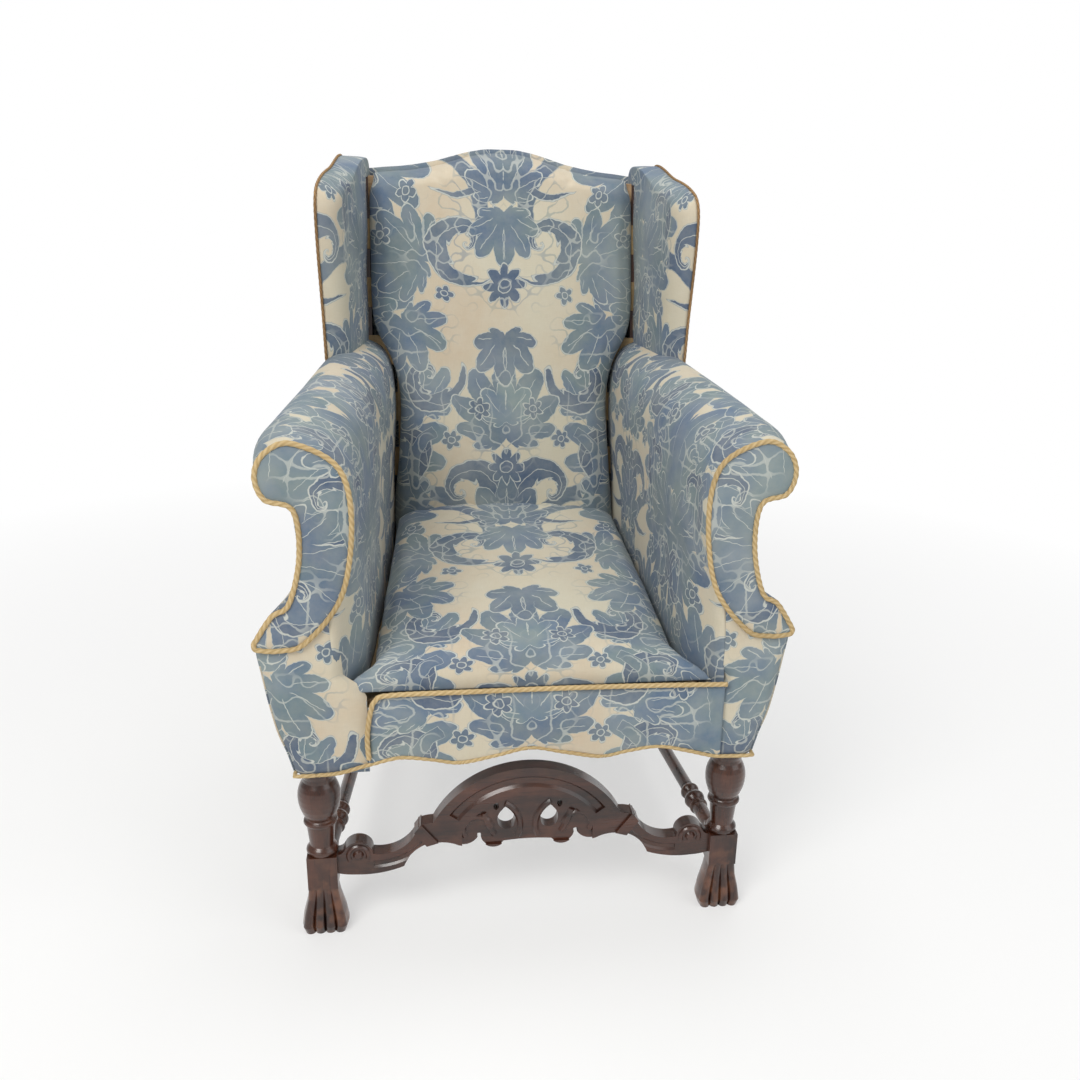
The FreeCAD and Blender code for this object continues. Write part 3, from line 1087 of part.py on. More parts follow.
def seat_body(shrink):
    """Seat from the canvas up to its crown: sections that tilt up towards the back and draw in."""
    depth = BACK_PAD_Y
    tilt = (SEAT_REAR_HEIGHT - SEAT_FRONT_HEIGHT) / depth
    rows = [
        (RAIL_TOP + 0.8, 0.0, SEAT_UNDERCUT),
        (CORNER_TOP + 0.4, 0.0, SEAT_UNDERCUT),
        (CORNER_TOP + 1.0, 0.0, 0.0),
        (SEAT_FRONT_HEIGHT + 16, tilt * 0.5, 2.0),
        (SEAT_FRONT_HEIGHT + 31, tilt * 0.75, 14.0),
        (SEAT_FRONT_HEIGHT + 36 + SEAT_CROWN, tilt * 0.78, 60.0),
    ]
    wires = []
    for number, (height, slope, inset) in enumerate(rows):
        reference = height + slope * depth
        drop = shrink if number > 2 else 0.0
        wires.append(wire(seat_outline(reference, inset + shrink), level(height - drop, slope)))
    return loft(wires)


def canvas_solid(grow):
    """Domed canvas over the springs, as a closed form."""
    rim = corners([(-SEAT_REAR_X + 30, 95), (-SEAT_REAR_X + 40, 440), (SEAT_REAR_X - 40, 440),
                   (SEAT_REAR_X - 30, 95)])
    low = wire(moved_in(rim, -40 - grow), level(RAIL_TOP - 2))
    high = wire(moved_in(rim, -grow), level(RAIL_TOP + CANVAS_RISE * 0.9 + grow, 0.02))
    return loft([low, high])


def helix_spring(centre, height):
    """Hourglass spring: a square wire on a helix in straight steps, flat at both ends."""
    count = SPRING_TURNS * SPRING_STEPS
    spots = []
    for step in range(count + 1):
        share = step / count
        radius = SPRING_WAIST + (SPRING_RADIUS - SPRING_WAIST) * abs(2 * share - 1)
        angle = 2 * math.pi * SPRING_TURNS * share
        spots.append(centre + Vector(radius * math.cos(angle), radius * math.sin(angle),
                                     SPRING_WIRE / 2 + (height - SPRING_WIRE) * share))
    rings = []
    for step, spot in enumerate(spots):
        out = Vector(spot.x - centre.x, spot.y - centre.y, 0).normalize() * (SPRING_WIRE / 2)
        up = Vector(0, 0, SPRING_WIRE / 2)
        ring = [spot - out - up, spot + out - up, spot + out + up, spot - out + up]
        rings.append(Part.makePolygon(ring + ring[:1]))
    return loft(rings)


def build_seat():
    """Webbing, springs, canvas, stuffing, cover, front border, piping, hem cord and bottom cloth."""
    under = RAIL_BOTTOM - WEBBING_THICKNESS
    straps = []
    for number in range(4):
        x = -165 + 110 * number
        rear_y = BACK_POST_Y + 22
        straps.append(box((x - WEBBING_WIDTH / 2, x + WEBBING_WIDTH / 2), (LEG_FRONT_Y + RAIL_WIDTH + 2, rear_y),
                          (under, RAIL_BOTTOM)))
    for number in range(4):
        y = 125 + 110 * number
        reach = side_inner_x(y + WEBBING_WIDTH / 2) + 14
        straps.append(box((-reach, reach), (y - WEBBING_WIDTH / 2, y + WEBBING_WIDTH / 2),
                          (under - WEBBING_THICKNESS, under)))
    keep("seat_webbing", Part.makeCompound(straps))
    # Springs stand on the webbing and carry the canvas
    top = canvas_solid(0)
    springs = []
    tall = RAIL_TOP + CANVAS_RISE * 0.9 + 0.02 * 95 - CANVAS - SOFT_GAP - RAIL_BOTTOM - 3
    for x in (-SPRING_PITCH, 0, SPRING_PITCH):
        for y in SPRING_ROWS:
            springs.append(helix_spring(Vector(x, y, RAIL_BOTTOM), tall + 0.02 * (y - 130)))
    keep("seat_springs", Part.makeCompound(springs))
    hollow = canvas_solid(-CANVAS)
    canvas = top.cut(hollow)
    canvas = canvas.common(box((-400, 400), (0, 700), (RAIL_TOP, RAIL_TOP + 200)))
    lip = prism(corners([(-SEAT_FRONT_X + 30, LEG_FRONT_Y + 2), (-SEAT_REAR_X + 2, 480), (SEAT_REAR_X - 2, 480),
                         (SEAT_FRONT_X - 30, LEG_FRONT_Y + 2)]), level(RAIL_TOP), Vector(0, 0, 0.8))
    canvas = canvas.fuse(lip.cut(canvas_solid(-0.6)))
    keep("spring_canvas", canvas.removeSplitter())
    room = canvas_solid(SOFT_GAP).fuse(box((-500, 500), (-50, 700), (200, RAIL_TOP + 0.8 + SOFT_GAP)))
    stuffing = seat_body(COVER + SOFT_GAP).cut(room)
    keep("seat_stuffing", largest(stuffing))
    cover = seat_body(0).cut(seat_body(COVER))
    cover = cover.cut(box((-500, 500), (-50, 700), (200, CORNER_TOP + 1.2)))
    keep("seat_cover", largest(cover))
    # Front border between the two seams, over the front rail
    left = -LEFT_SEAM_X + 1
    right = RIGHT_SEAM_X - 1
    middle = (left + right) / 2
    front_height = RAIL_BOTTOM - 20
    hem_room = prism(hem_chain(HEM_CORD_RADIUS + SOFT_GAP) + [(LEG_OUTER_X + 5, 200), (LEG_OUTER_X + 5, 100), (0, 100),
                     (-LEG_OUTER_X - 5, 100), (-LEG_OUTER_X - 5, 200)], upright(-10), Vector(0, 40, 0))
    half_up = (RAIL_BOTTOM + CORNER_TOP) / 2
    outline = [(left, front_height), (left, half_up), (left, CORNER_TOP), (middle, CORNER_TOP),
               (right, CORNER_TOP), (right, half_up), (right, front_height), (middle, front_height)]
    pad_y = BORDER_Y + COVER + SOFT_GAP
    shoulder = SEAT_FRONT_X - SEAT_UNDERCUT
    fill = corners([(left, front_height), (left, CORNER_TOP), (shoulder, CORNER_TOP), (shoulder + 8, RAIL_TOP),
                    (right, RAIL_TOP), (right, front_height)])
    stuffing = prism(moved_in(fill, 1.0), upright(pad_y), Vector(0, LEG_FRONT_Y - SOFT_GAP - pad_y, 0))
    keep("front_border_stuffing", stuffing.cut(hem_room))
    keep("front_border_cover", prism(outline, upright(BORDER_Y), Vector(0, COVER, 0)).cut(hem_room))


def build_trim():
    """Seat piping, hem cord and bottom cloth."""
    seam = LEFT_SEAM_X
    top = SEAT_FRONT_HEIGHT
    chain = [(-seam, RAIL_BOTTOM + 20), (-seam - 1, (RAIL_BOTTOM + top) / 2 - 4), (-seam + 4, top - 29), (-seam + 12, top - 8),
             (-seam + 34, top - 1), (40, top + 0.5), (SEAT_FRONT_X + 9, top - 3)]
    piping_y = BORDER_Y - SOFT_GAP - PIPING_RADIUS
    keep("seat_piping", open_cord(chain, lambda off: upright(piping_y + off)))
    radius = HEM_CORD_RADIUS
    front = open_cord(hem_chain(), lambda off: upright(2.0 + off), radius)
    turns = [(radius * math.cos(math.pi * k / 4), radius * math.sin(math.pi * k / 4)) for k in range(8)]
    ends = []
    for y in (ARM_FRONT_Y, SIDE_RAIL_FRONT_Y, back_rear(RAIL_BOTTOM)):
        x = side_outer_x(y) + SIDE_CLEAR + 0.5
        ends.append(wire(corners([(x + a, SIDE_CORD_Z + b) for a, b in turns]), upright(y)))
    side = loft(ends)
    rear_y = back_rear(RAIL_BOTTOM, SOFT_GAP + COVER) + radius + 1
    rear = [wire(corners([(rear_y + a, RAIL_BOTTOM + 3 + b) for a, b in turns]), sideways(x))
            for x in (-POST_OUTER_X, POST_OUTER_X)]
    keep("hem_cord", Part.makeCompound([front, side, mirror(side), loft(rear)]))
    plan = [(-LEG_INNER_X + 4, LEG_FRONT_Y + RAIL_WIDTH + 4), (-LEG_INNER_X - 6, LEG_REAR_Y + 12),
            (-POST_OUTER_X + 4, BACK_POST_Y - 3), (-POST_INNER_X + 3, BACK_POST_Y - 3),
            (-POST_INNER_X + 3, BACK_POST_Y + 34)]
    plan = plan + [(-a, b) for a, b in plan[::-1]]
    under = RAIL_BOTTOM - 2 * WEBBING_THICKNESS
    keep("bottom_cloth", prism(corners(plan), level(under - 1.0), Vector(0, 0, 0.9)))


def finish():
    """Moves every piece so that the origin is on the floor in the middle of the footprint, and writes it."""
    extent = Part.makeCompound(list(pieces.values())).optimalBoundingBox(False, False)
    shift = Vector(-extent.Center.x, -extent.Center.y, -extent.ZMin)
    os.makedirs("parts", exist_ok=True)
    for name, shape in pieces.items():
        shape.translate(shift)
        shape.exportStep("parts/" + name + ".step")
        if not shape.isValid():
            print("not valid:", name)
    print("pieces", len(pieces), "shift", shift)
    print("size", extent.XLength, extent.YLength, extent.ZLength)


legs = build_seat_frame()
build_arms(legs)
build_wings(legs)
build_back(legs)
build_seat()
build_trim()
for name, leg in legs.items():
    keep(name, leg)
finish()
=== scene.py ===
# %% [markdown]
# A wingback armchair in faded blue damask, on turned and carved walnut legs.
# The joiner's work comes ready made from the CAD model. This lesson dresses it: the covers,
# cords and cushions are surfaces worked out with numpy, and the finishes are node materials.

# %% Load the frame of the chair
import json
import math

import bpy
import numpy as np
from mathutils import Matrix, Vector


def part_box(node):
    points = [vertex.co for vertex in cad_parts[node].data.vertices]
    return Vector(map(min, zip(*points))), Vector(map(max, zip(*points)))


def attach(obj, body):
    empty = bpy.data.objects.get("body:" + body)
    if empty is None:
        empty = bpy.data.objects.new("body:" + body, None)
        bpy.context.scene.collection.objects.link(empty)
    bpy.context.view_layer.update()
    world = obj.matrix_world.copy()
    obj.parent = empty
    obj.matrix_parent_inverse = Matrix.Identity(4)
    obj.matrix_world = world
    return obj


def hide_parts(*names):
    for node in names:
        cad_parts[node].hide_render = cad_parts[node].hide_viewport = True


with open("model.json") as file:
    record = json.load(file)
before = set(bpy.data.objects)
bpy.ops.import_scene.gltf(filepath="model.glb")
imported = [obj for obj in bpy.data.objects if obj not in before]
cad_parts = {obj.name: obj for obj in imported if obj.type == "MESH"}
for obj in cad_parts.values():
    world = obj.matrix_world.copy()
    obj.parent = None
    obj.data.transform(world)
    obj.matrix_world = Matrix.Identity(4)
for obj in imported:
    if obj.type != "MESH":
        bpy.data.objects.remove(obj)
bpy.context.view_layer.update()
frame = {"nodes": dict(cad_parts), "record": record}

# %% [markdown]
# The chair was drawn in millimetres with the plane of the arm fronts at y = 0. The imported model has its
# origin in the middle of the footprint, so every drawn point moves by the same step. The step is read
# from the front panel of the arm, whose face was drawn 1.5 mm in front of that plane.

# %% Drawing sizes in millimetres
FACING_STANDS_OUT = 1.5
STEP_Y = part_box("arm_facing_right")[0].y * 1000 + FACING_STANDS_OUT
CORD = 3.5
HEM_CORD = 2.8
WING_CORD = 2.2
CLOTH_WALL = 2.2


def metres(points):
    """Drawing point to model point: add the step to y, then divide by a thousand."""
    return (np.asarray(points, float) + (0, STEP_Y, 0)) / 1000


def back_rear(z):
    """Depth of the rear face of the back at a height: a straight line leaning backwards."""
    return 592 + 0.147 * (z - 283)


def pad_front(z):
    """Depth of the front of the inside back at a height: a straight line leaning backwards."""
    return 513 + 0.232 * (z - 500)


def hem_x(y):
    """Distance of the side hem from the centre line: straight beside the legs, then narrowing to the back."""
    return np.interp(y, [62, 563], [323.5, 270]) + 4.5


print("step in y", round(STEP_Y, 2), "mm")

# %% [markdown]
# Upholstery is cut from outlines. A few points per outline are enough, if a smooth line is drawn through
# them: a Catmull-Rom spline passes through each point and needs no handles. A surface is then a grid of
# such lines, and numpy works out the whole grid at once.

# %% Lines, grids and meshes
def smooth(points, count, closed=False, times=None):
    """Catmull-Rom line through points: each span is a cubic whose end slopes are half the step between
    the neighbours. The result is spaced evenly along its length, or at the given shares of it."""
    p = np.asarray(points, float)
    ring = np.vstack([p[-1:], p, p[:2]]) if closed else np.vstack([2 * p[0] - p[1], p, 2 * p[-1] - p[-2]])
    t = np.linspace(0, 1, 24, endpoint=False)[:, None]
    a, b, c, d = (ring[i:len(ring) - 3 + i, None, :] for i in range(4))
    fine = 0.5 * (2 * b + (c - a) * t + (2 * a - 5 * b + 4 * c - d) * t ** 2 + (3 * b - a - 3 * c + d) * t ** 3)
    fine = np.vstack([fine.reshape(-1, p.shape[1]), ring[-2:-1] if closed else p[-1:]])
    along = np.concatenate([[0], np.cumsum(np.linalg.norm(np.diff(fine, axis=0), axis=1))])
    wanted = along[-1] * (np.linspace(0, 1, count) if times is None else np.asarray(times))
    return np.stack([np.interp(wanted, along, fine[:, k]) for k in range(p.shape[1])], axis=1)


def set_uv(mesh, uv):
    """Writes the layer of cloth coordinates, given per point in metres."""
    corner = np.zeros(len(mesh.loops), np.int32)
    mesh.loops.foreach_get("vertex_index", corner)
    layer = mesh.uv_layers.get("cloth") or mesh.uv_layers.new(name="cloth")
    layer.data.foreach_set("uv", np.asarray(uv, float)[corner].ravel())


def mesh_from(name, verts, faces, uv=None, material=None):
    """Mesh from points in drawing millimetres and faces; uv is given per point, in metres."""
    mesh = bpy.data.meshes.new(name)
    mesh.from_pydata(metres(verts).tolist(), [], faces if isinstance(faces, list) else faces.tolist())
    if uv is not None:
        set_uv(mesh, uv)
    mesh.shade_smooth()
    piece = bpy.data.objects.new(name, mesh)
    bpy.context.scene.collection.objects.link(piece)
    if material:
        mesh.materials.append(material)
    return piece


def quads(rows, columns, around=False, flip=False):
    """Faces of a grid of points, row by row; around joins the last column to the first."""
    r, c = np.meshgrid(np.arange(rows - 1), np.arange(columns if around else columns - 1), indexing="ij")
    n = (c + 1) % columns
    face = np.stack([r * columns + c, r * columns + n, (r + 1) * columns + n, (r + 1) * columns + c], -1)
    return face.reshape(-1, 4)[:, ::-1] if flip else face.reshape(-1, 4)


def thicken(piece, wall=CLOTH_WALL):
    """Solidify gives the cloth its wall, on the inner side."""
    modifier = piece.modifiers.new("wall", "SOLIDIFY")
    modifier.thickness = wall / 1000
    modifier.offset = -1
    return piece


def own(piece, nodes):
    """Hangs a piece on the chair, and lets it stand for its CAD nodes, which it hides."""
    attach(piece, "root")
    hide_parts(*nodes)
    return piece


def ripple(points, size, seed):
    """Gentle unevenness of hand stuffing, from -1 to 1: a sum of slow sine waves with shifted phases."""
    rng = np.random.default_rng(seed)
    total = np.zeros(points.shape[:-1])
    for _ in range(7):
        way = rng.normal(size=points.shape[-1])
        way *= rng.uniform(0.6, 1.7) / np.linalg.norm(way)
        total += np.sin(points @ way * 2 * math.pi / size + rng.uniform(0, 6.28))
    return total / 4


# %% [markdown]
# The finishes come before the pieces, so that each piece gets its cloth as it is made. Node trees are
# easier to read as formulas, so a small class lets Python's own signs build Math nodes.

# %% Formulas as nodes
class Formula:
    """A number that changes over the surface: +, -, * and / make Math nodes in a tree."""

    def __init__(self, tree, socket):
        self.tree, self.socket = tree, socket

    def op(self, kind, *others, clamp=False):
        node = self.tree.nodes.new("ShaderNodeMath")
        node.operation = kind
        node.use_clamp = clamp
        for place, value in enumerate((self,) + others):
            if isinstance(value, Formula):
                self.tree.links.new(value.socket, node.inputs[place])
            else:
                node.inputs[place].default_value = value
        return Formula(self.tree, node.outputs[0])

    def __add__(self, other): return self.op("ADD", other)
    def __radd__(self, other): return self.op("ADD", other)
    def __sub__(self, other): return self.op("SUBTRACT", other)
    def __mul__(self, other): return self.op("MULTIPLY", other)
    def __rmul__(self, other): return self.op("MULTIPLY", other)
    def __truediv__(self, other): return self.op("DIVIDE", other)
    def __neg__(self): return self.op("MULTIPLY", -1.0)
    def __pow__(self, power): return self.op("POWER", power)
    def __rsub__(self, other): return (-self).op("ADD", other)
    def sin(self): return self.op("SINE")
    def cos(self): return self.op("COSINE")
    def abs(self): return self.op("ABSOLUTE")
    def sqrt(self): return self.op("SQRT")
    def log(self): return self.op("LOGARITHM", math.e)
    def least(self, other): return self.op("MINIMUM", other)
    def most(self, other): return self.op("MAXIMUM", other)
    def angle(self, x): return self.op("ARCTAN2", x)
    def wrap(self, low, high): return self.op("WRAP", high, low)
    def fold(self, size): return self.op("PINGPONG", size)
    def step(self, low, high):
        """0 below low, 1 above high, and a straight ramp between."""
        return ((self - low) / (high - low)).op("ADD", 0.0, clamp=True)


def group(name, inputs, outputs):
    """An empty node group with its sockets, its input node and its output node."""
    tree = bpy.data.node_groups.new(name, "ShaderNodeTree")
    for label, kind, value in inputs:
        socket = tree.interface.new_socket(label, in_out="INPUT", socket_type=kind)
        if value is not None:
            socket.default_value = value
    for label, kind in outputs:
        tree.interface.new_socket(label, in_out="OUTPUT", socket_type=kind)
    return tree, tree.nodes.new("NodeGroupInput"), tree.nodes.new("NodeGroupOutput")


def put(tree, kind, links=(), **values):
    """Adds a node: values set its properties, and links feed its inputs by name or number. A socket or a
    formula is linked, and a plain value is set."""
    node = tree.nodes.new(kind)
    for key, value in values.items():
        setattr(node, key, value)
    for place, value in dict(links).items():
        socket = value.socket if isinstance(value, Formula) else value
        if isinstance(socket, bpy.types.NodeSocket):
            tree.links.new(socket, node.inputs[place])
        else:
            node.inputs[place].default_value = socket
    return node


def noise(tree, vector, scale, detail=2.0, rough=0.5):
    """Noise from 0 to 1 as a Formula."""
    node = put(tree, "ShaderNodeTexNoise", {"Vector": vector, "Scale": scale, "Detail": detail,
                                            "Roughness": rough})
    return Formula(tree, node.outputs["Fac"])


def blend(tree, share, low, high):
    """Mixes two colours by a share. Inputs 6 and 7 and output 2 are the colour sockets of a Mix node."""
    low, high = ((*colour, 1.0) if isinstance(colour, tuple) else colour for colour in (low, high))
    return put(tree, "ShaderNodeMix", {0: share, 6: low, 7: high}, data_type="RGBA").outputs[2]


# %% [markdown]
# Damask is a mirrored pattern: what grows to the right of a centre line grows to the left too, and the
# same height of drawing comes again up the cloth. Folding x and wrapping y gives both. The leaves are of
# the traditional kind and drawn here afresh: a scroll is a band along a spiral that shrinks as it turns,
# a fan leaf is a lobed curve in polar form, and a thin light line runs where each form ends.

# %% Damask drawing
HALF_WIDTH = 0.272
REPEAT = 0.575


def damask_group():
    """Outputs: Leaf, the share of dyed yarn; Line, the light outlines; Deep, where the dye is darkest."""
    tree, inlet, outlet = group("damask_drawing", [("Vector", "NodeSocketVector", None)],
                                [("Leaf", "NodeSocketFloat"), ("Line", "NodeSocketFloat"),
                                 ("Deep", "NodeSocketFloat")])
    vector = inlet.outputs["Vector"]
    bend = put(tree, "ShaderNodeTexNoise", {"Vector": vector, "Scale": 17.0, "Detail": 4.0, "Roughness": 0.62})
    shifted = put(tree, "ShaderNodeVectorMath", {0: bend.outputs["Color"], 1: (0.5, 0.5, 0.5)},
                  operation="SUBTRACT")
    parts = put(tree, "ShaderNodeSeparateXYZ", {0: vector})
    push = put(tree, "ShaderNodeSeparateXYZ", {0: shifted.outputs[0]})
    x = (Formula(tree, parts.outputs[0]).fold(HALF_WIDTH) + Formula(tree, push.outputs[0]) * 0.021) * 1000
    y = (Formula(tree, parts.outputs[1]) + Formula(tree, push.outputs[1]) * 0.021) * 1000
    state = {"leaf": None, "line": None, "deep": None}

    def lay(inside, deep=0.0, vein=None, hem=1.5):
        """Lays a form over what is there: inside is above 0 in it, and its hem is the light line."""
        cover = inside.step(-0.5, 0.5)
        edge = (hem - (inside - hem).abs()).step(0.0, 0.8)
        line = edge if vein is None else edge.most(vein * cover)
        for key, value in (("leaf", cover), ("line", line), ("deep", cover * deep)):
            old = state[key]
            if key == "leaf":
                state[key] = value if old is None else old.most(value)
            else:
                state[key] = value if old is None else old * (1.0 - cover) + value * cover
        return inside

    def about(cx, cy):
        """Polar coordinates about a point; the drawing comes again every repeat."""
        dx = x - cx
        dy = (y - cy).wrap(-REPEAT * 500, REPEAT * 500)
        return dx, dy, (dx * dx + dy * dy).sqrt().most(0.5)

    def scroll(cx, cy, reach, start, hand=1.0, wide=1.05, teeth=9.0, deep=0.7):
        """Acanthus scroll: the angle from a log spiral, times the radius, tells the distance across the
        band; the teeth on its outer side come from a sine of the log of the radius."""
        dx, dy, r = about(cx, cy)
        turn = r.log()
        phi = (dy.angle(dx) * hand - turn * 2.5 + start).wrap(-math.pi, math.pi)
        jag = (turn * teeth).sin().abs() * 0.5
        outer = (wide + jag - phi) * r * 0.42
        inner = (phi + wide * 0.75) * r * 0.42
        vein = (0.9 - ((phi - 0.15) * r * 0.42).abs()).step(0.0, 0.7)
        return lay(outer.least(inner).least(reach - r), deep, vein)

    def fan(cx, cy, size, tilt, lobes=9.0, long=1.0, deep=0.3, sharp=0.7):
        """Fan leaf: the radius of the edge is largest along the tilt and dips between the lobes."""
        dx, dy, r = about(cx, cy)
        theta = (dy.angle(dx) - tilt).wrap(-math.pi, math.pi)
        lobe = (theta * lobes * 0.5).cos().abs() ** sharp
        reach = (theta * 0.5).cos().most(0.0) ** (1.6 * long)
        edge = (lobe * 0.34 + 0.66) * reach * size
        vein = (1.0 - ((theta * lobes * 0.5).sin().abs() * r * 0.22 - 0.2)).step(0.2, 1.0)
        vein = vein * (r - size * 0.24).step(0.0, 4.0) * (edge * 0.86 - r).step(0.0, 3.0)
        return lay(edge - r, deep, vein)

    def flower(cx, cy, size, petals, start=0.0, deep=0.9, heart=0.3):
        """Blossom: petals from the cosine of the angle, with a light heart."""
        dx, dy, r = about(cx, cy)
        theta = dy.angle(dx) + start
        edge = ((theta * petals * 0.5).cos().abs() * 0.42 + 0.58) * size
        ring = (1.3 - (r - size * heart).abs()).step(0.0, 1.0)
        return lay(edge - r, deep, ring)

    def stem(cx, cy, radius, low, high, wide=2.6, deep=0.6):
        """Stem: an arc of a circle between two angles."""
        dx, dy, r = about(cx, cy)
        theta = dy.angle(dx)
        span = ((theta - (low + high) / 2).wrap(-math.pi, math.pi).abs() - (high - low) / 2) * -radius
        return lay((wide - (r - radius).abs()).least(span), deep, None, 0.7)

    # side plumes and their scrolls
    fan(262, 318, 172, 2.45, 17, 0.75, 0.3)
    fan(266, 250, 150, 3.75, 15, 0.8, 0.5)
    fan(270, 10, 132, 2.15, 13, 0.8, 0.3)
    fan(272, 548, 110, 3.7, 13, 0.8, 0.2)
    scroll(190, 330, 60, 0.4, 1.0, 1.1, 8, 1.0)
    scroll(232, 200, 54, 2.6, -1.0, 1.1, 8, 0.9)
    # great pair of scrolls beside the centre line
    stem(150, 150, 112, 1.7, 3.6, 13, 0.8)
    stem(92, 300, 74, -0.9, 1.1, 10, 0.5)
    fan(140, 78, 112, 0.35, 13, 0.8, 0.35)
    fan(146, 396, 104, 1.15, 13, 0.8, 0.3)
    scroll(80, 262, 82, 1.1, 1.0, 1.25, 9, 0.9)
    scroll(66, 110, 74, 3.6, -1.0, 1.2, 9, 0.8)
    scroll(134, 462, 66, 2.0, -1.0, 1.15, 9, 0.95)
    fan(178, 556, 96, 4.3, 11, 0.8, 0.35)
    # small sprigs in the ground
    for cx, cy, size, petals in ((166, 190, 21, 5), (96, 352, 19, 6), (214, 418, 22, 5), (106, 22, 17, 5),
                                 (212, 118, 20, 5)):
        flower(cx, cy, size, petals, cx * 0.1, 0.7)
    # palmette and lotus on the centre line
    fan(0, 356, 138, math.pi / 2, 13, 0.95, 0.5)
    fan(0, 384, 76, math.pi / 2, 9, 1.2, 0.1)
    fan(0, 186, 104, math.pi / 2, 11, 1.1, 0.6)
    fan(0, 158, 92, -math.pi / 2, 11, 1.1, 0.4)
    fan(0, 530, 86, -math.pi / 2, 9, 1.0, 0.7)
    flower(0, 304, 34, 8, 0.0, 0.8)
    flower(0, 38, 38, 8, 0.0, 0.9)
    flower(48, 404, 20, 6, 0.4, 0.9)
    # tendrils: thin lines where a mirrored noise passes its middle, dark on the ground and light on leaves
    folded = put(tree, "ShaderNodeCombineXYZ", {0: x * 0.001, 1: y * 0.001})
    curl = (0.034 - (noise(tree, folded.outputs[0], 36.0, 0.0) - 0.5).abs()).step(0.0, 0.016)
    curl = curl * noise(tree, folded.outputs[0], 8.0, 0.0).step(0.44, 0.56)
    state["line"] = state["line"].most(curl * state["leaf"] * 0.6)
    state["leaf"] = state["leaf"].most(curl * 0.5)
    for key, label in (("leaf", "Leaf"), ("line", "Line"), ("deep", "Deep")):
        tree.links.new(state[key].socket, outlet.inputs[label])
    print("damask drawing has", len(tree.nodes), "nodes")
    return tree


# %% [markdown]
# Woven cotton is fine threads over and under one another. Two crossed waves a fraction of a millimetre
# apart give a height for the bump and a slight speckle in the colour. Yarn is never even, so noise
# stretched along each thread direction varies it.

# %% Weave, fading and wood grain as groups
def weave_group():
    """Outputs: Height of the crossed threads and Speckle, their uneven dye."""
    tree, inlet, outlet = group("cotton_weave", [("Vector", "NodeSocketVector", None),
                                                 ("Threads", "NodeSocketFloat", 900.0)],
                                [("Height", "NodeSocketFloat"), ("Speckle", "NodeSocketFloat")])
    parts = put(tree, "ShaderNodeSeparateXYZ", {0: inlet.outputs["Vector"]})
    threads = Formula(tree, inlet.outputs["Threads"])
    u = Formula(tree, parts.outputs[0]) * threads * math.pi
    v = Formula(tree, parts.outputs[1]) * threads * math.pi
    over = (u.sin() * v.sin()) * 0.5 + 0.5
    slub = put(tree, "ShaderNodeMapping", {"Vector": inlet.outputs["Vector"], "Scale": (60.0, 900.0, 60.0)})
    slub_v = put(tree, "ShaderNodeMapping", {"Vector": inlet.outputs["Vector"], "Scale": (900.0, 60.0, 60.0)})
    uneven = noise(tree, slub.outputs[0], 1.0) + noise(tree, slub_v.outputs[0], 1.0)
    tree.links.new((over * 0.6 + uneven * 0.4).socket, outlet.inputs["Height"])
    tree.links.new(uneven.step(0.55, 1.45).socket, outlet.inputs["Speckle"])
    return tree


def grain_group():
    """Outputs: Colour of polished walnut and Height of its pores; Wear rubs the polish to a lighter red."""
    tree, inlet, outlet = group("walnut_grain", [("Vector", "NodeSocketVector", None),
                                                 ("Wear", "NodeSocketFloat", 0.0)],
                                [("Color", "NodeSocketColor"), ("Height", "NodeSocketFloat"),
                                 ("Gloss", "NodeSocketFloat")])
    long = put(tree, "ShaderNodeMapping", {"Vector": inlet.outputs["Vector"], "Scale": (34.0, 34.0, 5.0)})
    fine = put(tree, "ShaderNodeMapping", {"Vector": inlet.outputs["Vector"], "Scale": (420.0, 420.0, 22.0)})
    bands = noise(tree, long.outputs[0], 1.0, 4.0, 0.6)
    pores = noise(tree, fine.outputs[0], 1.0, 2.0, 0.6)
    patch = noise(tree, inlet.outputs["Vector"], 11.0, 3.0)
    dark = blend(tree, bands.step(0.34, 0.68), (0.012, 0.0037, 0.0022), (0.072, 0.0215, 0.0105))
    warm = blend(tree, patch.step(0.45, 0.75) * 0.32, dark, (0.145, 0.047, 0.021))
    pored = blend(tree, (1.0 - pores.step(0.3, 0.46)) * 0.55, warm, (0.006, 0.003, 0.002))
    worn = blend(tree, Formula(tree, inlet.outputs["Wear"]) * 0.75, pored, (0.29, 0.115, 0.052))
    tree.links.new(worn, outlet.inputs["Color"])
    tree.links.new((pores * 0.5 + bands * 0.5).socket, outlet.inputs["Height"])
    tree.links.new((patch * 0.16 + (1.0 - pores) * 0.14 + 0.16).socket, outlet.inputs["Gloss"])
    return tree


DAMASK = damask_group()
WEAVE = weave_group()
GRAIN = grain_group()

# %% [markdown]
# Each finish is a material with the Principled shader in it. The damask has three yarns: a cream ground,
# a blue that faded to grey and teal in patches, and the light outlines. Age shows as warm stains.

# %% Cloth materials
def new_material(name):
    """Empty material; returns it with its tree and its Principled shader."""
    material = bpy.data.materials.new(name)
    material.use_nodes = True
    tree = material.node_tree
    return material, tree, tree.nodes["Principled BSDF"]


def use_group(tree, made, links):
    """Adds a node group and feeds its inputs."""
    return put(tree, "ShaderNodeGroup", links, node_tree=made)


def finish_shader(tree, shader, height, strength, distance, **constants):
    """Bump from a height, and constants on the shader's own sockets, with _ for a space in their names."""
    bump = put(tree, "ShaderNodeBump", {"Height": height, "Strength": strength, "Distance": distance})
    tree.links.new(bump.outputs[0], shader.inputs["Normal"])
    for label, value in constants.items():
        shader.inputs[label.replace("_", " ")].default_value = value


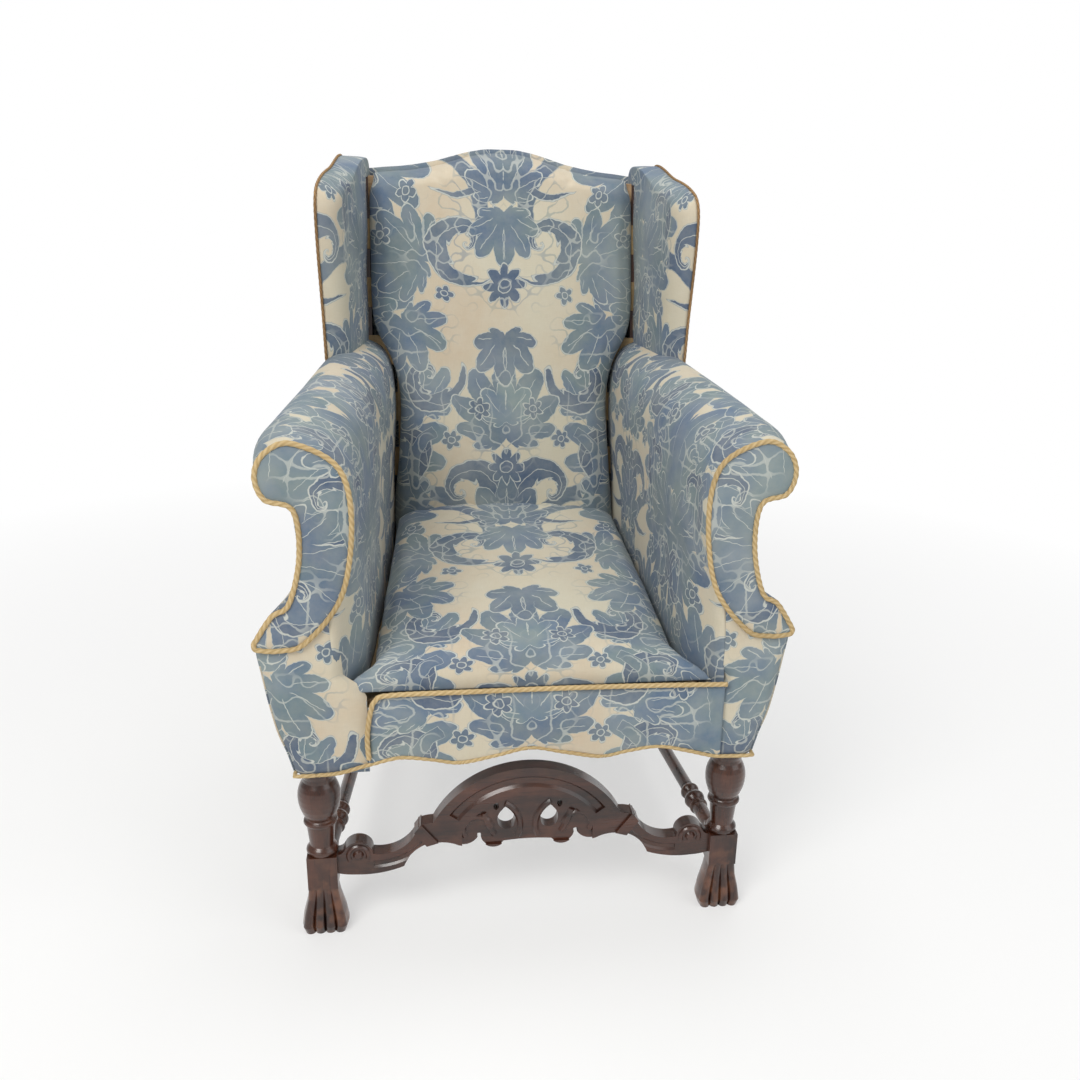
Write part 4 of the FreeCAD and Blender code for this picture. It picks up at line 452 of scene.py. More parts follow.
def damask_material(name, shift=(0.0, 0.0, 0.0), turn=0.0, warm=0.0):
    """Damask on the piece's own cloth coordinates, moved by shift and turned by an angle."""
    material, tree, shader = new_material(name)
    cloth = put(tree, "ShaderNodeUVMap", uv_map="cloth")
    place = put(tree, "ShaderNodeMapping", {"Vector": cloth.outputs[0], "Location": shift,
                                            "Rotation": (0, 0, turn)})
    drawing = use_group(tree, DAMASK, {"Vector": place.outputs[0]})
    weave = use_group(tree, WEAVE, {"Vector": cloth.outputs[0], "Threads": 1000.0})
    spot = put(tree, "ShaderNodeTexCoord")
    area = spot.outputs["Object"]
    fade = noise(tree, area, 7.0, 3.0, 0.6)
    tint = noise(tree, area, 13.0, 2.0)
    blotch = noise(tree, area, 38.0, 3.0, 0.7)
    stain = noise(tree, area, 4.2, 2.0)
    leaf = Formula(tree, drawing.outputs["Leaf"])
    line = Formula(tree, drawing.outputs["Line"])
    deep = Formula(tree, drawing.outputs["Deep"])
    ground = blend(tree, stain.step(0.42, 0.68) * 0.75 + warm, (0.61, 0.565, 0.435), (0.57, 0.455, 0.325))
    ground = blend(tree, (blotch.step(0.35, 0.7)) * 0.25, ground, (0.66, 0.64, 0.55))
    blue = blend(tree, tint.step(0.38, 0.62), (0.092, 0.168, 0.275), (0.165, 0.248, 0.262))
    blue = blend(tree, deep * (blotch * 0.5 + 0.65), blue, (0.040, 0.083, 0.165))
    blue = blend(tree, fade.step(0.46, 0.76) * 0.5, blue, (0.36, 0.42, 0.42))
    dyed = blend(tree, leaf * (blotch * 0.3 + 0.76), ground, blue)
    lined = blend(tree, line * 0.88, dyed, (0.57, 0.59, 0.54))
    yarn = blend(tree, Formula(tree, weave.outputs["Speckle"]) * 0.16, lined, (0.30, 0.27, 0.22))
    tree.links.new(yarn, shader.inputs["Base Color"])
    rough = Formula(tree, weave.outputs["Height"]) * 0.12 + 0.74 - leaf * 0.06
    tree.links.new(rough.socket, shader.inputs["Roughness"])
    height = Formula(tree, weave.outputs["Height"]) * 0.25 + leaf * 0.5 + line * 0.3
    finish_shader(tree, shader, height, 0.35, 0.0006, Sheen_Weight=0.12, Sheen_Roughness=0.5,
                  Specular_IOR_Level=0.25)
    return material


def plain_cloth(name, light, dark, threads):
    """Woven cloth of one colour, from light to dark by its uneven yarn, on Object coordinates."""
    material, tree, shader = new_material(name)
    spot = put(tree, "ShaderNodeTexCoord")
    weave = use_group(tree, WEAVE, {"Vector": spot.outputs["Object"], "Threads": threads})
    soft = noise(tree, spot.outputs["Object"], 30.0, 3.0)
    colour = blend(tree, Formula(tree, weave.outputs["Speckle"]) * 0.6 + soft * 0.4, light, dark)
    tree.links.new(colour, shader.inputs["Base Color"])
    finish_shader(tree, shader, weave.outputs["Height"], 0.5, 0.0006, Roughness=0.85, Specular_IOR_Level=0.2)
    return material


def cord_material(name, light, dark):
    """Twisted cotton cord: its coordinates run along and round the cord, so a painted shade follows the strands,
    light on each strand's crest and dark in the grooves between them.
    """
    material, tree, shader = new_material(name)
    cloth = put(tree, "ShaderNodeUVMap", uv_map="cloth")
    parts = put(tree, "ShaderNodeSeparateXYZ", {0: cloth.outputs[0]})
    along = Formula(tree, parts.outputs[0])
    turn = Formula(tree, parts.outputs[1])
    # painted shade: the colour is lightest on the crests of the twisted strands and darkest in the grooves between
    # them, in step with the lobes of the cord's mesh
    strand = (turn * 3.0 - along * 598.0).cos() * 0.5 + 0.5
    fibre = noise(tree, put(tree, "ShaderNodeTexCoord").outputs["Object"], 900.0, 2.0)
    dirt = noise(tree, put(tree, "ShaderNodeTexCoord").outputs["Object"], 9.0, 3.0)
    colour = blend(tree, strand * 0.7 + fibre * 0.3, dark, light)
    soiled = blend(tree, dirt.step(0.45, 0.75) * 0.5, colour, tuple(v * 0.72 for v in dark))
    tree.links.new(soiled, shader.inputs["Base Color"])
    finish_shader(tree, shader, fibre, 0.5, 0.0004, Roughness=0.8, Specular_IOR_Level=0.2)
    return material


def wood_material(name, wear=0.5, grain_turn=(0.0, 0.0, 0.0)):
    """Polished walnut: the grain group on Object coordinates, scuffed lighter near the floor by wear."""
    material, tree, shader = new_material(name)
    spot = put(tree, "ShaderNodeTexCoord")
    turned = put(tree, "ShaderNodeMapping", {"Vector": spot.outputs["Object"], "Rotation": grain_turn})
    height = put(tree, "ShaderNodeSeparateXYZ", {0: spot.outputs["Object"]}).outputs[2]
    low = (0.14 - Formula(tree, height)).step(0.0, 0.10)
    rub = noise(tree, spot.outputs["Object"], 48.0, 3.0).step(0.46, 0.70)
    grain = use_group(tree, GRAIN, {"Vector": turned.outputs[0], "Wear": rub * (low * wear + 0.10)})
    tree.links.new(grain.outputs["Color"], shader.inputs["Base Color"])
    tree.links.new(grain.outputs["Gloss"], shader.inputs["Roughness"])
    finish_shader(tree, shader, grain.outputs["Height"], 0.25, 0.0005, Coat_Weight=0.45, Coat_Roughness=0.16)
    return material


CLOTH = damask_material("damask_back", (0.0, 0.125, 0.0))
CLOTH_SEAT = damask_material("damask_seat", (0.0, 0.30, 0.0))
CLOTH_BORDER = damask_material("damask_border", (0.0, 0.30, 0.0), 0.0, 0.12)
CLOTH_ARM = damask_material("damask_arm", (0.11, 0.06, 0.0))
CLOTH_SIDE = damask_material("damask_side", (0.03, 0.33, 0.0), 0.0, 0.2)
CLOTH_FACING = damask_material("damask_facing", (0.16, 0.12, 0.0), 0.0, 0.15)
CLOTH_WING = damask_material("damask_wing", (0.10, 0.05, 0.0))
GOLD_CORD = cord_material("cord_gold", (0.64, 0.49, 0.27), (0.42, 0.29, 0.13))
TAN_CORD = cord_material("cord_tan", (0.42, 0.27, 0.13), (0.20, 0.11, 0.05))
WALNUT = wood_material("walnut_upright")
WALNUT_CROSS = wood_material("walnut_cross", 0.15, (0.0, math.pi / 2, 0.0))
print("materials", len(bpy.data.materials))

# %% [markdown]
# The arms come next. A section square to the arm's length is one line: up the inner side, over the
# rolled top, under its nose and down the outer side to the hem. Four sections are drawn, and the rest
# are blended between them, so the roll tapers to the back as the upholsterer built it.

# %% Arm sections
INNER = {
    5: [(272, 388), (262, 520), (235, 650), (248, 723), (303, 755), (337, 743), (351, 714), (341, 683), (307, 668)],
    75: [(231, 388), (231, 520), (232, 657), (247, 731), (307, 764), (346, 750), (361, 717), (351, 685), (309, 670)],
    260: [(222, 388), (220, 540), (217, 675), (231, 751), (281, 781.6), (316, 769.8), (330, 737), (321, 707),
          (290, 694)],
    592: [(206, 388), (202, 540), (197, 695), (210, 767), (255, 792), (287, 781), (300, 750), (293, 720), (274, 706)],
}
OUTER = {
    5: [(307, 668), (303, 605), (320, 540), (343, 523), (366, 482), (362, 430), (349, 352), (337, 314), (328, 281)],
    75: [(309, 670), (304, 605), (315, 540), (335, 515), (357, 475), (354, 430), (344.6, 352), (335.6, 314),
         (326.6, 281)],
    260: [(290, 694), (291, 620), (300, 540), (306, 510), (313, 475), (313, 425), (311.9, 352), (309.9, 317),
          (306.9, 281)],
    592: [(274, 706), (274, 620), (274.2, 540), (274.3, 508), (274.4, 475), (274.4, 412), (274.5, 352),
          (274.5, 317), (271.4, 281)],
}


def arm_grid(chains, depths, count):
    """Grid of an arm skin: a smooth line per drawn section, sections blended by depth and evened out
    along the arm, and the last row laid on the leaning back plane."""
    drawn = np.stack([smooth(chain, count) for chain in chains.values()])
    at = np.array(list(chains), float)
    y = np.repeat(np.asarray(depths, float)[:, None], count, 1)
    x = np.zeros_like(y)
    z = np.zeros_like(y)
    for column in range(count):
        x[:, column] = np.interp(y[:, column], at, drawn[:, column, 0])
        z[:, column] = np.interp(y[:, column], at, drawn[:, column, 1])
    kernel = np.array([1, 2, 3, 2, 1]) / 9
    for array in (x, z):
        padded = np.vstack([array[:1]] * 2 + [array] + [array[-1:]] * 2)
        array[2:] = sum(kernel[k] * padded[k:k + len(array)] for k in range(5))[2:]
    share = (y - y[0]) / (y[-1:] - y[0])
    y = y[0] + share * (back_rear(z) + 1.0 - y[0])
    return np.stack([x, y, z], -1)


def drawn_off(grid, outward):
    """Moves a skin square to itself: outward is a height for each point of the grid."""
    du = np.gradient(grid, axis=0)
    dv = np.gradient(grid, axis=1)
    normal = np.cross(du, dv)
    normal /= np.maximum(np.linalg.norm(normal, axis=-1, keepdims=True), 1e-6)
    return grid + normal * np.asarray(outward)[..., None]


def arc_uv(grid):
    """Cloth coordinates of a skin in metres: its depth, and the length along each line of the grid."""
    lengths = np.linalg.norm(np.diff(grid, axis=1), axis=-1)
    up_way = np.concatenate([np.zeros((len(grid), 1)), np.cumsum(lengths, 1)], 1)
    return np.stack([grid[..., 1] - 5, up_way], -1) / 1000


rows = np.concatenate([[5, 6, 8, 11, 15, 20], np.linspace(26, 640, 84)])
ACROSS_ARM = 90
inner_grid = arm_grid(INNER, rows, ACROSS_ARM)
outer_grid = arm_grid(OUTER, rows, ACROSS_ARM)
round_front = 7.0 * (1 - np.sqrt(1 - np.clip(1 - (rows - 5) / 13, 0, 1) ** 2))
inner_soft = 1.6 * ripple(inner_grid, 210, 5) - round_front[:, None]
edge_hold = np.minimum(1, np.arange(ACROSS_ARM) / 8)[None, :]
inner_skin = drawn_off(inner_grid, -inner_soft)
outer_skin = drawn_off(outer_grid, -1.2 * ripple(outer_grid, 240, 6) * edge_hold)
low_front = np.clip((486 - outer_grid[..., 2]) / 16, 0, 1)
outer_skin[..., 1] += (1.5 + 8.0 * low_front) * np.exp(-(outer_grid[..., 1] - 5) / 25)
print("arm skins", inner_skin.shape, outer_skin.shape)

# %% Arm covers
def mirrored(points, side):
    """The right half as drawn, or its mirror image on the left."""
    return points * (side, 1, 1)


def damask_piece(name, grid, side, flip, uv, material, nodes, wall=CLOTH_WALL):
    """One skin with a wall, on the right as drawn or mirrored on the left; flip turns its faces round."""
    piece = mesh_from(name, mirrored(grid.reshape(-1, 3), side), quads(*grid.shape[:2], flip=flip),
                      uv.reshape(-1, 2), material)
    return own(thicken(piece, wall), nodes)


SIDES = ((1, "right"), (-1, "left"))
for side, word in SIDES:
    damask_piece("arm_pad_" + word, inner_skin, side, side > 0, arc_uv(inner_grid), CLOTH_ARM,
                 ["inside_arm_cover_" + word, "arm_stuffing_" + word])
    damask_piece("arm_side_" + word, outer_skin, side, side > 0, arc_uv(outer_grid) * (1, -1), CLOTH_SIDE,
                 ["outside_arm_cover_" + word])

# %% [markdown]
# The front of each arm is a flat panel, scroll shaped, with a corded edge, over a plain front that turns
# the corner. Such a panel is filled row by row: for each height, points from its inner to its outer edge.
# The puff comes from the distance to the outline, rising fast at the edge and level in the middle.

# %% Panels filled by rows
FACING = [(301, 485), (252, 550), (235, 650), (248, 723), (303, 755), (337, 743), (351, 714), (341, 683),
          (307, 668), (303, 605), (320, 540), (343, 523), (366, 488), (368, 481), (364, 476), (335, 474)]


def row_panel(outline, count_z, count_x, puff, reach, front, sink=0.0):
    """Grid over a closed outline in the x-z plane. Puff is the rise in the middle, reach the distance
    from the edge at which it is nearly full, and sink what the edge turns back."""
    line = smooth(outline, 600, closed=True)
    top, low = line[:, 1].argmax(), line[:, 1].argmin()
    a, b = sorted((top, low))
    one, two = line[a:b + 1], np.vstack([line[b:], line[:a + 1]])
    share = 0.5 - 0.5 * np.cos(np.linspace(0.02, math.pi - 0.02, count_z))
    z = line[low, 1] + share * (line[top, 1] - line[low, 1])
    sides = []
    for half in (one, two):
        half = half if half[0, 1] < half[-1, 1] else half[::-1]
        level = np.maximum.accumulate(half[:, 1])
        sides.append(np.interp(z, level, half[:, 0]))
    left, right = (np.minimum(*sides), np.maximum(*sides))
    s = 0.5 - 0.5 * np.cos(np.linspace(0, math.pi, count_x))
    x = left[:, None] + (right - left)[:, None] * s
    zz = np.repeat(z[:, None], count_x, 1)
    flat = np.stack([x, zz], -1).reshape(-1, 2)
    away = np.full(len(flat), 1e9)
    for start in range(0, len(line), 100):
        gap = np.linalg.norm(flat[:, None] - line[None, start:start + 100], axis=-1).min(1)
        away = np.minimum(away, gap)
    away = away.reshape(x.shape)
    rise = puff * (1 - np.exp(-away / reach)) - sink * np.exp(-away / (reach * 0.4))
    return np.stack([x, front - rise, zz], -1)


facing_grid = row_panel(FACING, 120, 44, 6.5, 14.0, 1.5)
facing_grid[..., 1] -= 0.8 * ripple(facing_grid, 90, 3)
for side, word in SIDES:
    damask_piece("arm_front_panel_" + word, facing_grid, side, side < 0,
                 facing_grid[..., (0, 2)] / 1000 - (0.235, 0.47), CLOTH_FACING, ["arm_facing_" + word], 3.0)
print("front panel reaches y", round(facing_grid[..., 1].min(), 1))

# %% Plain arm fronts below and around the panels
def corner_front(seam, count_z=110, count_x=46):
    """Rows from the seam to the outer side; the face rounds back over the last 6 to 15 mm at the outer
    edge, and bulges a few millimetres under the panel where the stuffing is fullest."""
    inner = np.array([(seam, 282), (seam, 396), (max(seam, 236), 412), (max(seam, 257) - 10 * (seam > 260), 428),
                      (262, 520), (235, 650), (248, 723), (290, 752), (303, 755)], float)
    outer = np.vstack([smooth(OUTER[5], 200)[::-1], smooth(INNER[5][4:], 120)[::-1]])
    outer = outer[np.argsort(outer[:, 1], kind="stable")]
    z = np.concatenate([np.linspace(282, 480, count_z // 2), np.linspace(484, 754, count_z - count_z // 2)])
    left = np.interp(z, inner[:, 1], inner[:, 0])
    right = np.interp(z, outer[:, 1], outer[:, 0])
    s = 0.5 - 0.5 * np.cos(np.linspace(0, math.pi, count_x))
    x = left[:, None] + (right - left)[:, None] * s
    zz = np.repeat(z[:, None], count_x, 1)
    to_right = right[:, None] - x
    to_left = x - left[:, None]
    low_part = np.clip((486 - zz) / 16, 0, 1)
    back = (3 + 8 * low_part) * np.clip(1 - to_right / (6 + 9 * low_part), 0, 1) ** 2
    back += np.clip((zz - 385) / 20, 0, 1) * 12 * np.clip(1 - to_left / 17, 0, 1) ** 2
    full = np.exp(-((zz - 400) / 62) ** 2) * np.clip(to_right / 30, 0, 1) * np.clip(to_left / 26, 0, 1)
    return np.stack([x, 4.6 + back - 5.0 * full, zz], -1)


for (side, word), seam in zip(SIDES, (274.0, 226.0)):
    grid = corner_front(seam)
    grid[..., 1] += 0.9 * ripple(grid, 120, 8)
    damask_piece("arm_front_" + word, grid, side, side < 0, grid[..., (0, 2)] / 1000 - (0.2, 0.2), CLOTH_SIDE,
                 ["outside_arm_cover_" + word])

# %% [markdown]
# Cord is two or three strands twisted together. Its section is a circle with three soft lobes, and the
# lobes turn as the section travels along its path, so the strands wind round each other.

# %% Twisted cords
def twisted(name, path, radius, material, nodes, closed=False, step=2.0, lay=10.5, around=15):
    """Carries a three-lobed circle along a path. The lobes turn by one strand in each lay. The
    section's frame is square to the path and keeps the y or x axis as its reference."""
    path = np.asarray(path, float)
    length = np.linalg.norm(np.diff(path, axis=0), axis=1).sum()
    line = smooth(path, max(8, int(length / step)), closed)
    if closed:
        line = line[:-1]
    ahead = np.roll(line, -1, 0) - np.roll(line, 1, 0) if closed else np.gradient(line, axis=0)
    ahead /= np.linalg.norm(ahead, axis=1, keepdims=True)
    prefer = np.array([0.03, 1.0, 0.05]) if abs(ahead[:, 1]).max() < 0.9 else np.array([1.0, 0.03, 0.05])
    side = np.cross(ahead, prefer)
    side /= np.linalg.norm(side, axis=1, keepdims=True)
    up = np.cross(side, ahead)
    turn = np.linspace(0, 2 * math.pi, around, endpoint=False)
    along = np.concatenate([[0], np.cumsum(np.linalg.norm(np.diff(line, axis=0), axis=1))])
    total = along[-1] + (np.linalg.norm(line[0] - line[-1]) if closed else 0)
    pitch = total / max(1, round(total / lay))
    wave = 1 + 0.085 * np.cos(3 * turn[None] - 2 * math.pi * along[:, None] / pitch)
    r = radius * wave
    grid = (line[:, None] + side[:, None] * (r * np.cos(turn))[..., None]
            + up[:, None] * (r * np.sin(turn))[..., None])
    uv = np.stack([np.repeat(along[:, None] / 1000, around, 1), np.repeat(turn[None], len(line), 0)], -1)
    faces = quads(len(line), around, around=True)
    verts = grid.reshape(-1, 3)
    uv = uv.reshape(-1, 2)
    if closed:
        last = (len(line) - 1) * around + np.arange(around)
        first = np.arange(around)
        bridge = np.stack([last, np.roll(last, -1), np.roll(first, -1), first], -1)
        faces = np.vstack([faces, bridge])
    else:
        middle, far = len(verts), (len(line) - 1) * around
        verts = np.vstack([verts, line[:1], line[-1:]])
        uv = np.vstack([uv, uv[:1], uv[-1:]])
        faces = faces.tolist() + [[middle, (k + 1) % around, k] for k in range(around)]
        faces += [[middle + 1, far + k, far + (k + 1) % around] for k in range(around)]
    return own(mesh_from(name, verts, faces, uv, material), nodes)


ring = smooth(FACING, 420, closed=True)[:-1]
for side, word in SIDES:
    path = np.stack([ring[:, 0] * side, np.full(len(ring), 0.2), ring[:, 1]], -1)
    twisted("arm_front_cord_" + word, path[::4], CORD, GOLD_CORD, ["facing_piping_" + word], closed=True)

SEAT_SEAM = [(-226, 306), (-227, 340), (-222, 376), (-214, 397), (-192, 404), (-80, 405), (40, 405.5),
             (160, 404.5), (279, 402)]
twisted("seat_edge_cord", [(x, -2.9, z) for x, z in SEAT_SEAM], CORD, GOLD_CORD, ["seat_piping"])
HEM = [(-328.5, 281), (-297, 282), (-267, 284), (-226, 295), (-184, 304), (-140, 299), (-100, 292), (-50, 301),
       (0, 311), (50, 301), (100, 292), (140, 299), (184, 304), (226, 295), (267, 284), (297, 282), (328.5, 281)]
hem_line = smooth(HEM, 60)
side_y = np.linspace(8, 600, 40)
path = [(-hem_x(y) - 0.5, y, 280.5) for y in side_y[::-1]] + [(-327.5, 4, 280.6)]
path += [(x, 1.6, z) for x, z in hem_line[2:-2]]
path += [(327.5, 4, 280.6)] + [(hem_x(y) + 0.5, y, 280.5) for y in side_y]
twisted("hem_edge_cord", path, HEM_CORD, GOLD_CORD, ["hem_cord"], step=2.8)

# %% [markdown]
# The wings are padded boards. Their outline is drawn in side view. The inner face is a gentle cushion,
# the front edge is rolled, and the outer face is flat with a thin cord along its edge.

# %% Wings
WING = [(480, 740), (456, 860), (439, 975), (443, 1033), (482, 1057), (568, 1072), (705, 1083), (685, 910),
        (666, 740), (573, 738)]
WING_FRONT = 438
WING_POINTS = 240
EDGE_TURN = 0.27


def wing_outer(y):
    """Distance of the wing's outer face from the centre line: the wings lean in towards the back."""
    return 302 - 0.10 * (y - WING_FRONT)


def wing_rings():
    """Rings of the outline, each drawn in towards the middle of the wing by a share. The first rings
    lie on the outer face, then the edge turns over on a quarter circle, and the last close the inner face.
    At the rear, where the wing meets the back, hold keeps the edge almost square."""
    line = smooth(WING, WING_POINTS + 1, closed=True)[:-1]
    middle = np.stack([np.full(WING_POINTS, 560.0), np.clip(line[:, 1], 800, 1000)], -1)
    turned = 1 - EDGE_TURN
    rings = [(share, 0.0, 0) for share in (0.0, 0.5, 0.9, 0.985)]
    for angle in np.linspace(0, math.pi / 2, 12):
        rings.append((1.0 - EDGE_TURN * (1 - math.cos(angle)), math.sin(angle) ** 0.9, 1))
    for share in (0.68, 0.62, 0.54, 0.44, 0.32, 0.18, 0.0):
        rings.append((share, 1.0 + 0.30 * (1 - share / turned) ** 1.2, 2))
    grid = []
    hold = np.clip((640 - line[:, 0]) / 90, 0.1, 1.0)
    for share, lift, face in rings:
        local = np.full(WING_POINTS, share)
        if face == 1:
            local = 1 - (1 - share) * hold
        elif face == 2:
            local = share + (1 - share) * (1 - hold) * min(1, share / turned)
        p = middle + (line - middle) * local[:, None]
        outer = wing_outer(p[:, 0])
        inner = 266 - 0.132 * (p[:, 0] - WING_FRONT)
        x = outer - (outer - inner) * lift if face < 2 else inner - 16 * (lift - 1.0)
        grid.append(np.stack([x, p[:, 0], p[:, 1]], -1))
    return np.array(grid)


wing_grid = wing_rings()
wing_soft = 1.8 * ripple(wing_grid, 150, 12) * (wing_grid[..., 0] < wing_grid[3:4, :, 0] - 6)
wing_grid[..., 0] += wing_soft
edge = smooth(WING, 400, closed=True)
edge = edge[(edge[:, 1] > 768) & (edge[:, 0] < back_rear(edge[:, 1]) - 4)]
foot = np.argmin(np.abs(edge[:, 1] - 770) + (edge[:, 0] > 560) * 500)
edge = np.roll(edge, -foot, 0)
edge = edge[np.concatenate([[True], np.linalg.norm(np.diff(edge, axis=0), axis=1) < 30])]
for side, word in SIDES:
    verts = mirrored(wing_grid.reshape(-1, 3), side)
    uv = wing_grid[..., (1, 2)].reshape(-1, 2) / 1000 - (0.44, 0.74)
    uv[:, 0] -= np.abs(verts[:, 0]) / 1000 - 0.262
    piece = mesh_from("wing_pad_" + word, verts,
                      quads(len(wing_grid), WING_POINTS, around=True, flip=side > 0), uv, CLOTH_WING)
    own(piece,
        ["inside_wing_cover_" + word, "wing_stuffing_" + word, "outside_wing_cover_" + word])
    x = (wing_outer(edge[:, 0]) - 0.5) * side
    path = np.stack([x, edge[:, 0] - 1.0, edge[:, 1] + 0.5], -1)[::6]
    twisted("wing_edge_cord_" + word, path, WING_CORD, TAN_CORD, ["wing_piping_" + word], lay=10)
print("wing spans x", round(wing_grid[..., 0].min()), round(wing_grid[..., 0].max()))

# %% [markdown]
# The inside back and the seat are the cushions of the chair. They are closed forms, a little slimmer
# than the finished pad. Blender's cloth then inflates them, so that the fabric finds its own swell and
# its small tucks, and the pattern's coordinates are laid on afterwards.

# %% Inside back, as drawn
BACK = np.array([(206, 392), (203, 560), (197, 690), (210, 760), (240, 830), (243, 940), (242, 1040),
                 (236, 1062)])
VOXEL = 0.0055
PRESSURE = 3.5


def camel(x):
    """Upper edge of the back: a hump in the middle and low shoulders."""
    xs = np.array([0, 30, 60, 85, 115, 146, 175, 205, 230])
    zs = np.array([1113, 1111.5, 1106, 1099, 1090, 1084, 1079.5, 1077, 1074])
    return np.interp(np.abs(x), xs, zs)


def back_half_width(z):
    line = smooth(BACK, 200)
    return np.interp(z, line[:, 1], line[:, 0])


def back_form(shrink, rows=70, columns=74, tuck=26.0):
    """Closed cushion: a front face with rounded sides, and a plain rear. Across, the share s runs from
    one side to the other; the depth falls off near each edge like a quarter circle."""
    s = np.sin(np.linspace(-math.pi / 2, math.pi / 2, columns))
    v = 0.5 - 0.5 * np.cos(np.linspace(0, math.pi, rows))
    low = 396 + shrink
    guess = low + v * (1080 - low)
    half = back_half_width(guess) - shrink
    x = half[:, None] * s[None]
    top = camel(x) - shrink
    z = low + v[:, None] * (top - low)
    edge_x = np.clip((half[:, None] - np.abs(x)) / tuck, 0, 1)
    edge_z = np.clip((top - z) / (tuck * 1.1), 0, 1)
    fall = (1 - np.sqrt(1 - (1 - edge_x) ** 2)) + (1 - np.sqrt(1 - (1 - edge_z) ** 2))
    y = pad_front(z) + shrink + np.clip(fall, 0, 1) * 30
    front = np.stack([x, y, z], -1)
    rear = front.copy()
    rear[..., 1] = np.maximum(y + 8, back_rear(z) - 2.0)
    rear[..., 0] *= 0.955
    return front, rear


def closed_form(front, rear):
    """Joins two like grids along their rims into one closed mesh: vertices and quads."""
    r, c = front.shape[:2]
    a = quads(r, c)
    b = quads(r, c, flip=True) + r * c
    rim = np.concatenate([np.arange(c), np.arange(1, r) * c + c - 1, (r - 1) * c + np.arange(c - 2, -1, -1),
                          np.arange(r - 2, 0, -1) * c])
    after = np.roll(rim, -1)
    wall = np.stack([after, rim, rim + r * c, after + r * c], -1)
    return np.vstack([front.reshape(-1, 3), rear.reshape(-1, 3)]), np.vstack([a, b, wall])


def inflate(piece, cap, keep):
    """Voxel remesh, a short cloth run under pressure, each point held within cap of its start and moved
    less where keep says, then the modifiers are applied and one subdivision smooths the result."""
    bpy.context.view_layer.objects.active = piece
    piece.select_set(True)
    remesh = piece.modifiers.new("remesh", "REMESH")
    remesh.mode = "VOXEL"
    remesh.voxel_size = VOXEL
    bpy.ops.object.modifier_apply(modifier="remesh")
    start = np.zeros(len(piece.data.vertices) * 3)
    piece.data.vertices.foreach_get("co", start)
    start = start.reshape(-1, 3)
    cloth = piece.modifiers.new("cloth", "CLOTH")
    cloth.settings.use_pressure = True
    cloth.settings.uniform_pressure_force = PRESSURE
    cloth.settings.effector_weights.gravity = 0
    cloth.settings.tension_stiffness = 22
    cloth.settings.compression_stiffness = 22
    cloth.settings.bending_stiffness = 0.6
    cloth.settings.quality = 5
    cloth.point_cache.frame_start = 1
    cloth.point_cache.frame_end = 20
    for number in range(1, 21):
        bpy.context.scene.frame_set(number)
    bpy.ops.object.modifier_apply(modifier="cloth")
    bpy.context.scene.frame_set(1)
    moved = np.zeros(len(start) * 3)
    piece.data.vertices.foreach_get("co", moved)
    moved = moved.reshape(-1, 3) - start
    far = np.maximum(np.linalg.norm(moved, axis=1, keepdims=True), 1e-9)
    held = moved * np.minimum(1, cap / far) * keep(start * 1000 - (0, STEP_Y, 0))[:, None]
    piece.data.vertices.foreach_set("co", (start + held).ravel())
    print(piece.name, "swelled by up to", round(float(np.linalg.norm(held, axis=1).max()) * 1000, 1), "mm")
    subdivide = piece.modifiers.new("finer", "SUBSURF")
    subdivide.levels = subdivide.render_levels = 1
    bpy.ops.object.modifier_apply(modifier="finer")
    piece.data.shade_smooth()
    piece.select_set(False)
    return piece


def lay_cloth(piece, material, rule):
    """Lays cloth coordinates on a finished cushion: rule turns drawing points to metres across and up."""
    mesh = piece.data
    mesh.materials.clear()
    mesh.materials.append(material)
    co = np.zeros(len(mesh.vertices) * 3)
    mesh.vertices.foreach_get("co", co)
    set_uv(mesh, rule(co.reshape(-1, 3) * 1000 - (0, STEP_Y, 0)))


back = mesh_from("back_cushion", *closed_form(*back_form(5.0)))
inflate(back, 0.007, lambda p: np.clip((back_rear(p[:, 2]) - p[:, 1]) / 30, 0, 1))
lay_cloth(back, CLOTH, lambda p: np.stack([p[:, 0], p[:, 2] - 400], 1) / 1000)
own(back, ["inside_back_cover", "back_stuffing"])
print("inside back", len(back.data.vertices), "points")

# %% Seat cushion
def seat_half_width(y):
    return np.interp(y, [0, 4, 40, 75, 260, 520], [262, 268.5, 240, 228, 220.5, 203.5])


def seat_form(shrink, rows=70, columns=74):
    """Closed cushion: the top rises to the back and crowns in the middle; its front edge rolls down to
    the corded seam, and its sides tuck in between the arms."""
    s = np.sin(np.linspace(-math.pi / 2, math.pi / 2, columns))
    v = 0.5 - 0.5 * np.cos(np.linspace(0, math.pi, rows))
    y = 1 + shrink + v * (520 - shrink - 1)
    half = seat_half_width(y) - shrink
    x = half[:, None] * s[None]
    yy = np.repeat(y[:, None], columns, 1)
    share = 1 - (np.abs(s) ** 2.6)[None]
    rise = np.clip(yy / 62, 0, 1)
    roll = np.sqrt(1 - (1 - rise) ** 2)
    edge = np.clip((half[:, None] - np.abs(x)) / 34, 0, 1)
    side = np.sqrt(1 - (1 - edge) ** 2)
    z = 402 + (20 + 24 * share * 0.9) * roll * (0.35 + 0.65 * side) + 0.152 * yy
    top = np.stack([x, yy, z - shrink], -1)
    low = top.copy()
    low[..., 2] = 400 + 0.10 * yy
    return top, low


seat = mesh_from("seat_cushion", *closed_form(*seat_form(4.0)))
inflate(seat, 0.009, lambda p: np.clip((p[:, 2] - 396 - 0.1 * p[:, 1]) / 12, 0, 1)
        * np.clip(p[:, 1] / 10 + 0.4, 0, 1))
lay_cloth(seat, CLOTH_SEAT, lambda p: np.stack([p[:, 0], p[:, 1] + np.clip(p[:, 2] - 405, 0, 40)], 1) / 1000)
own(seat, ["seat_cover", "seat_stuffing"])

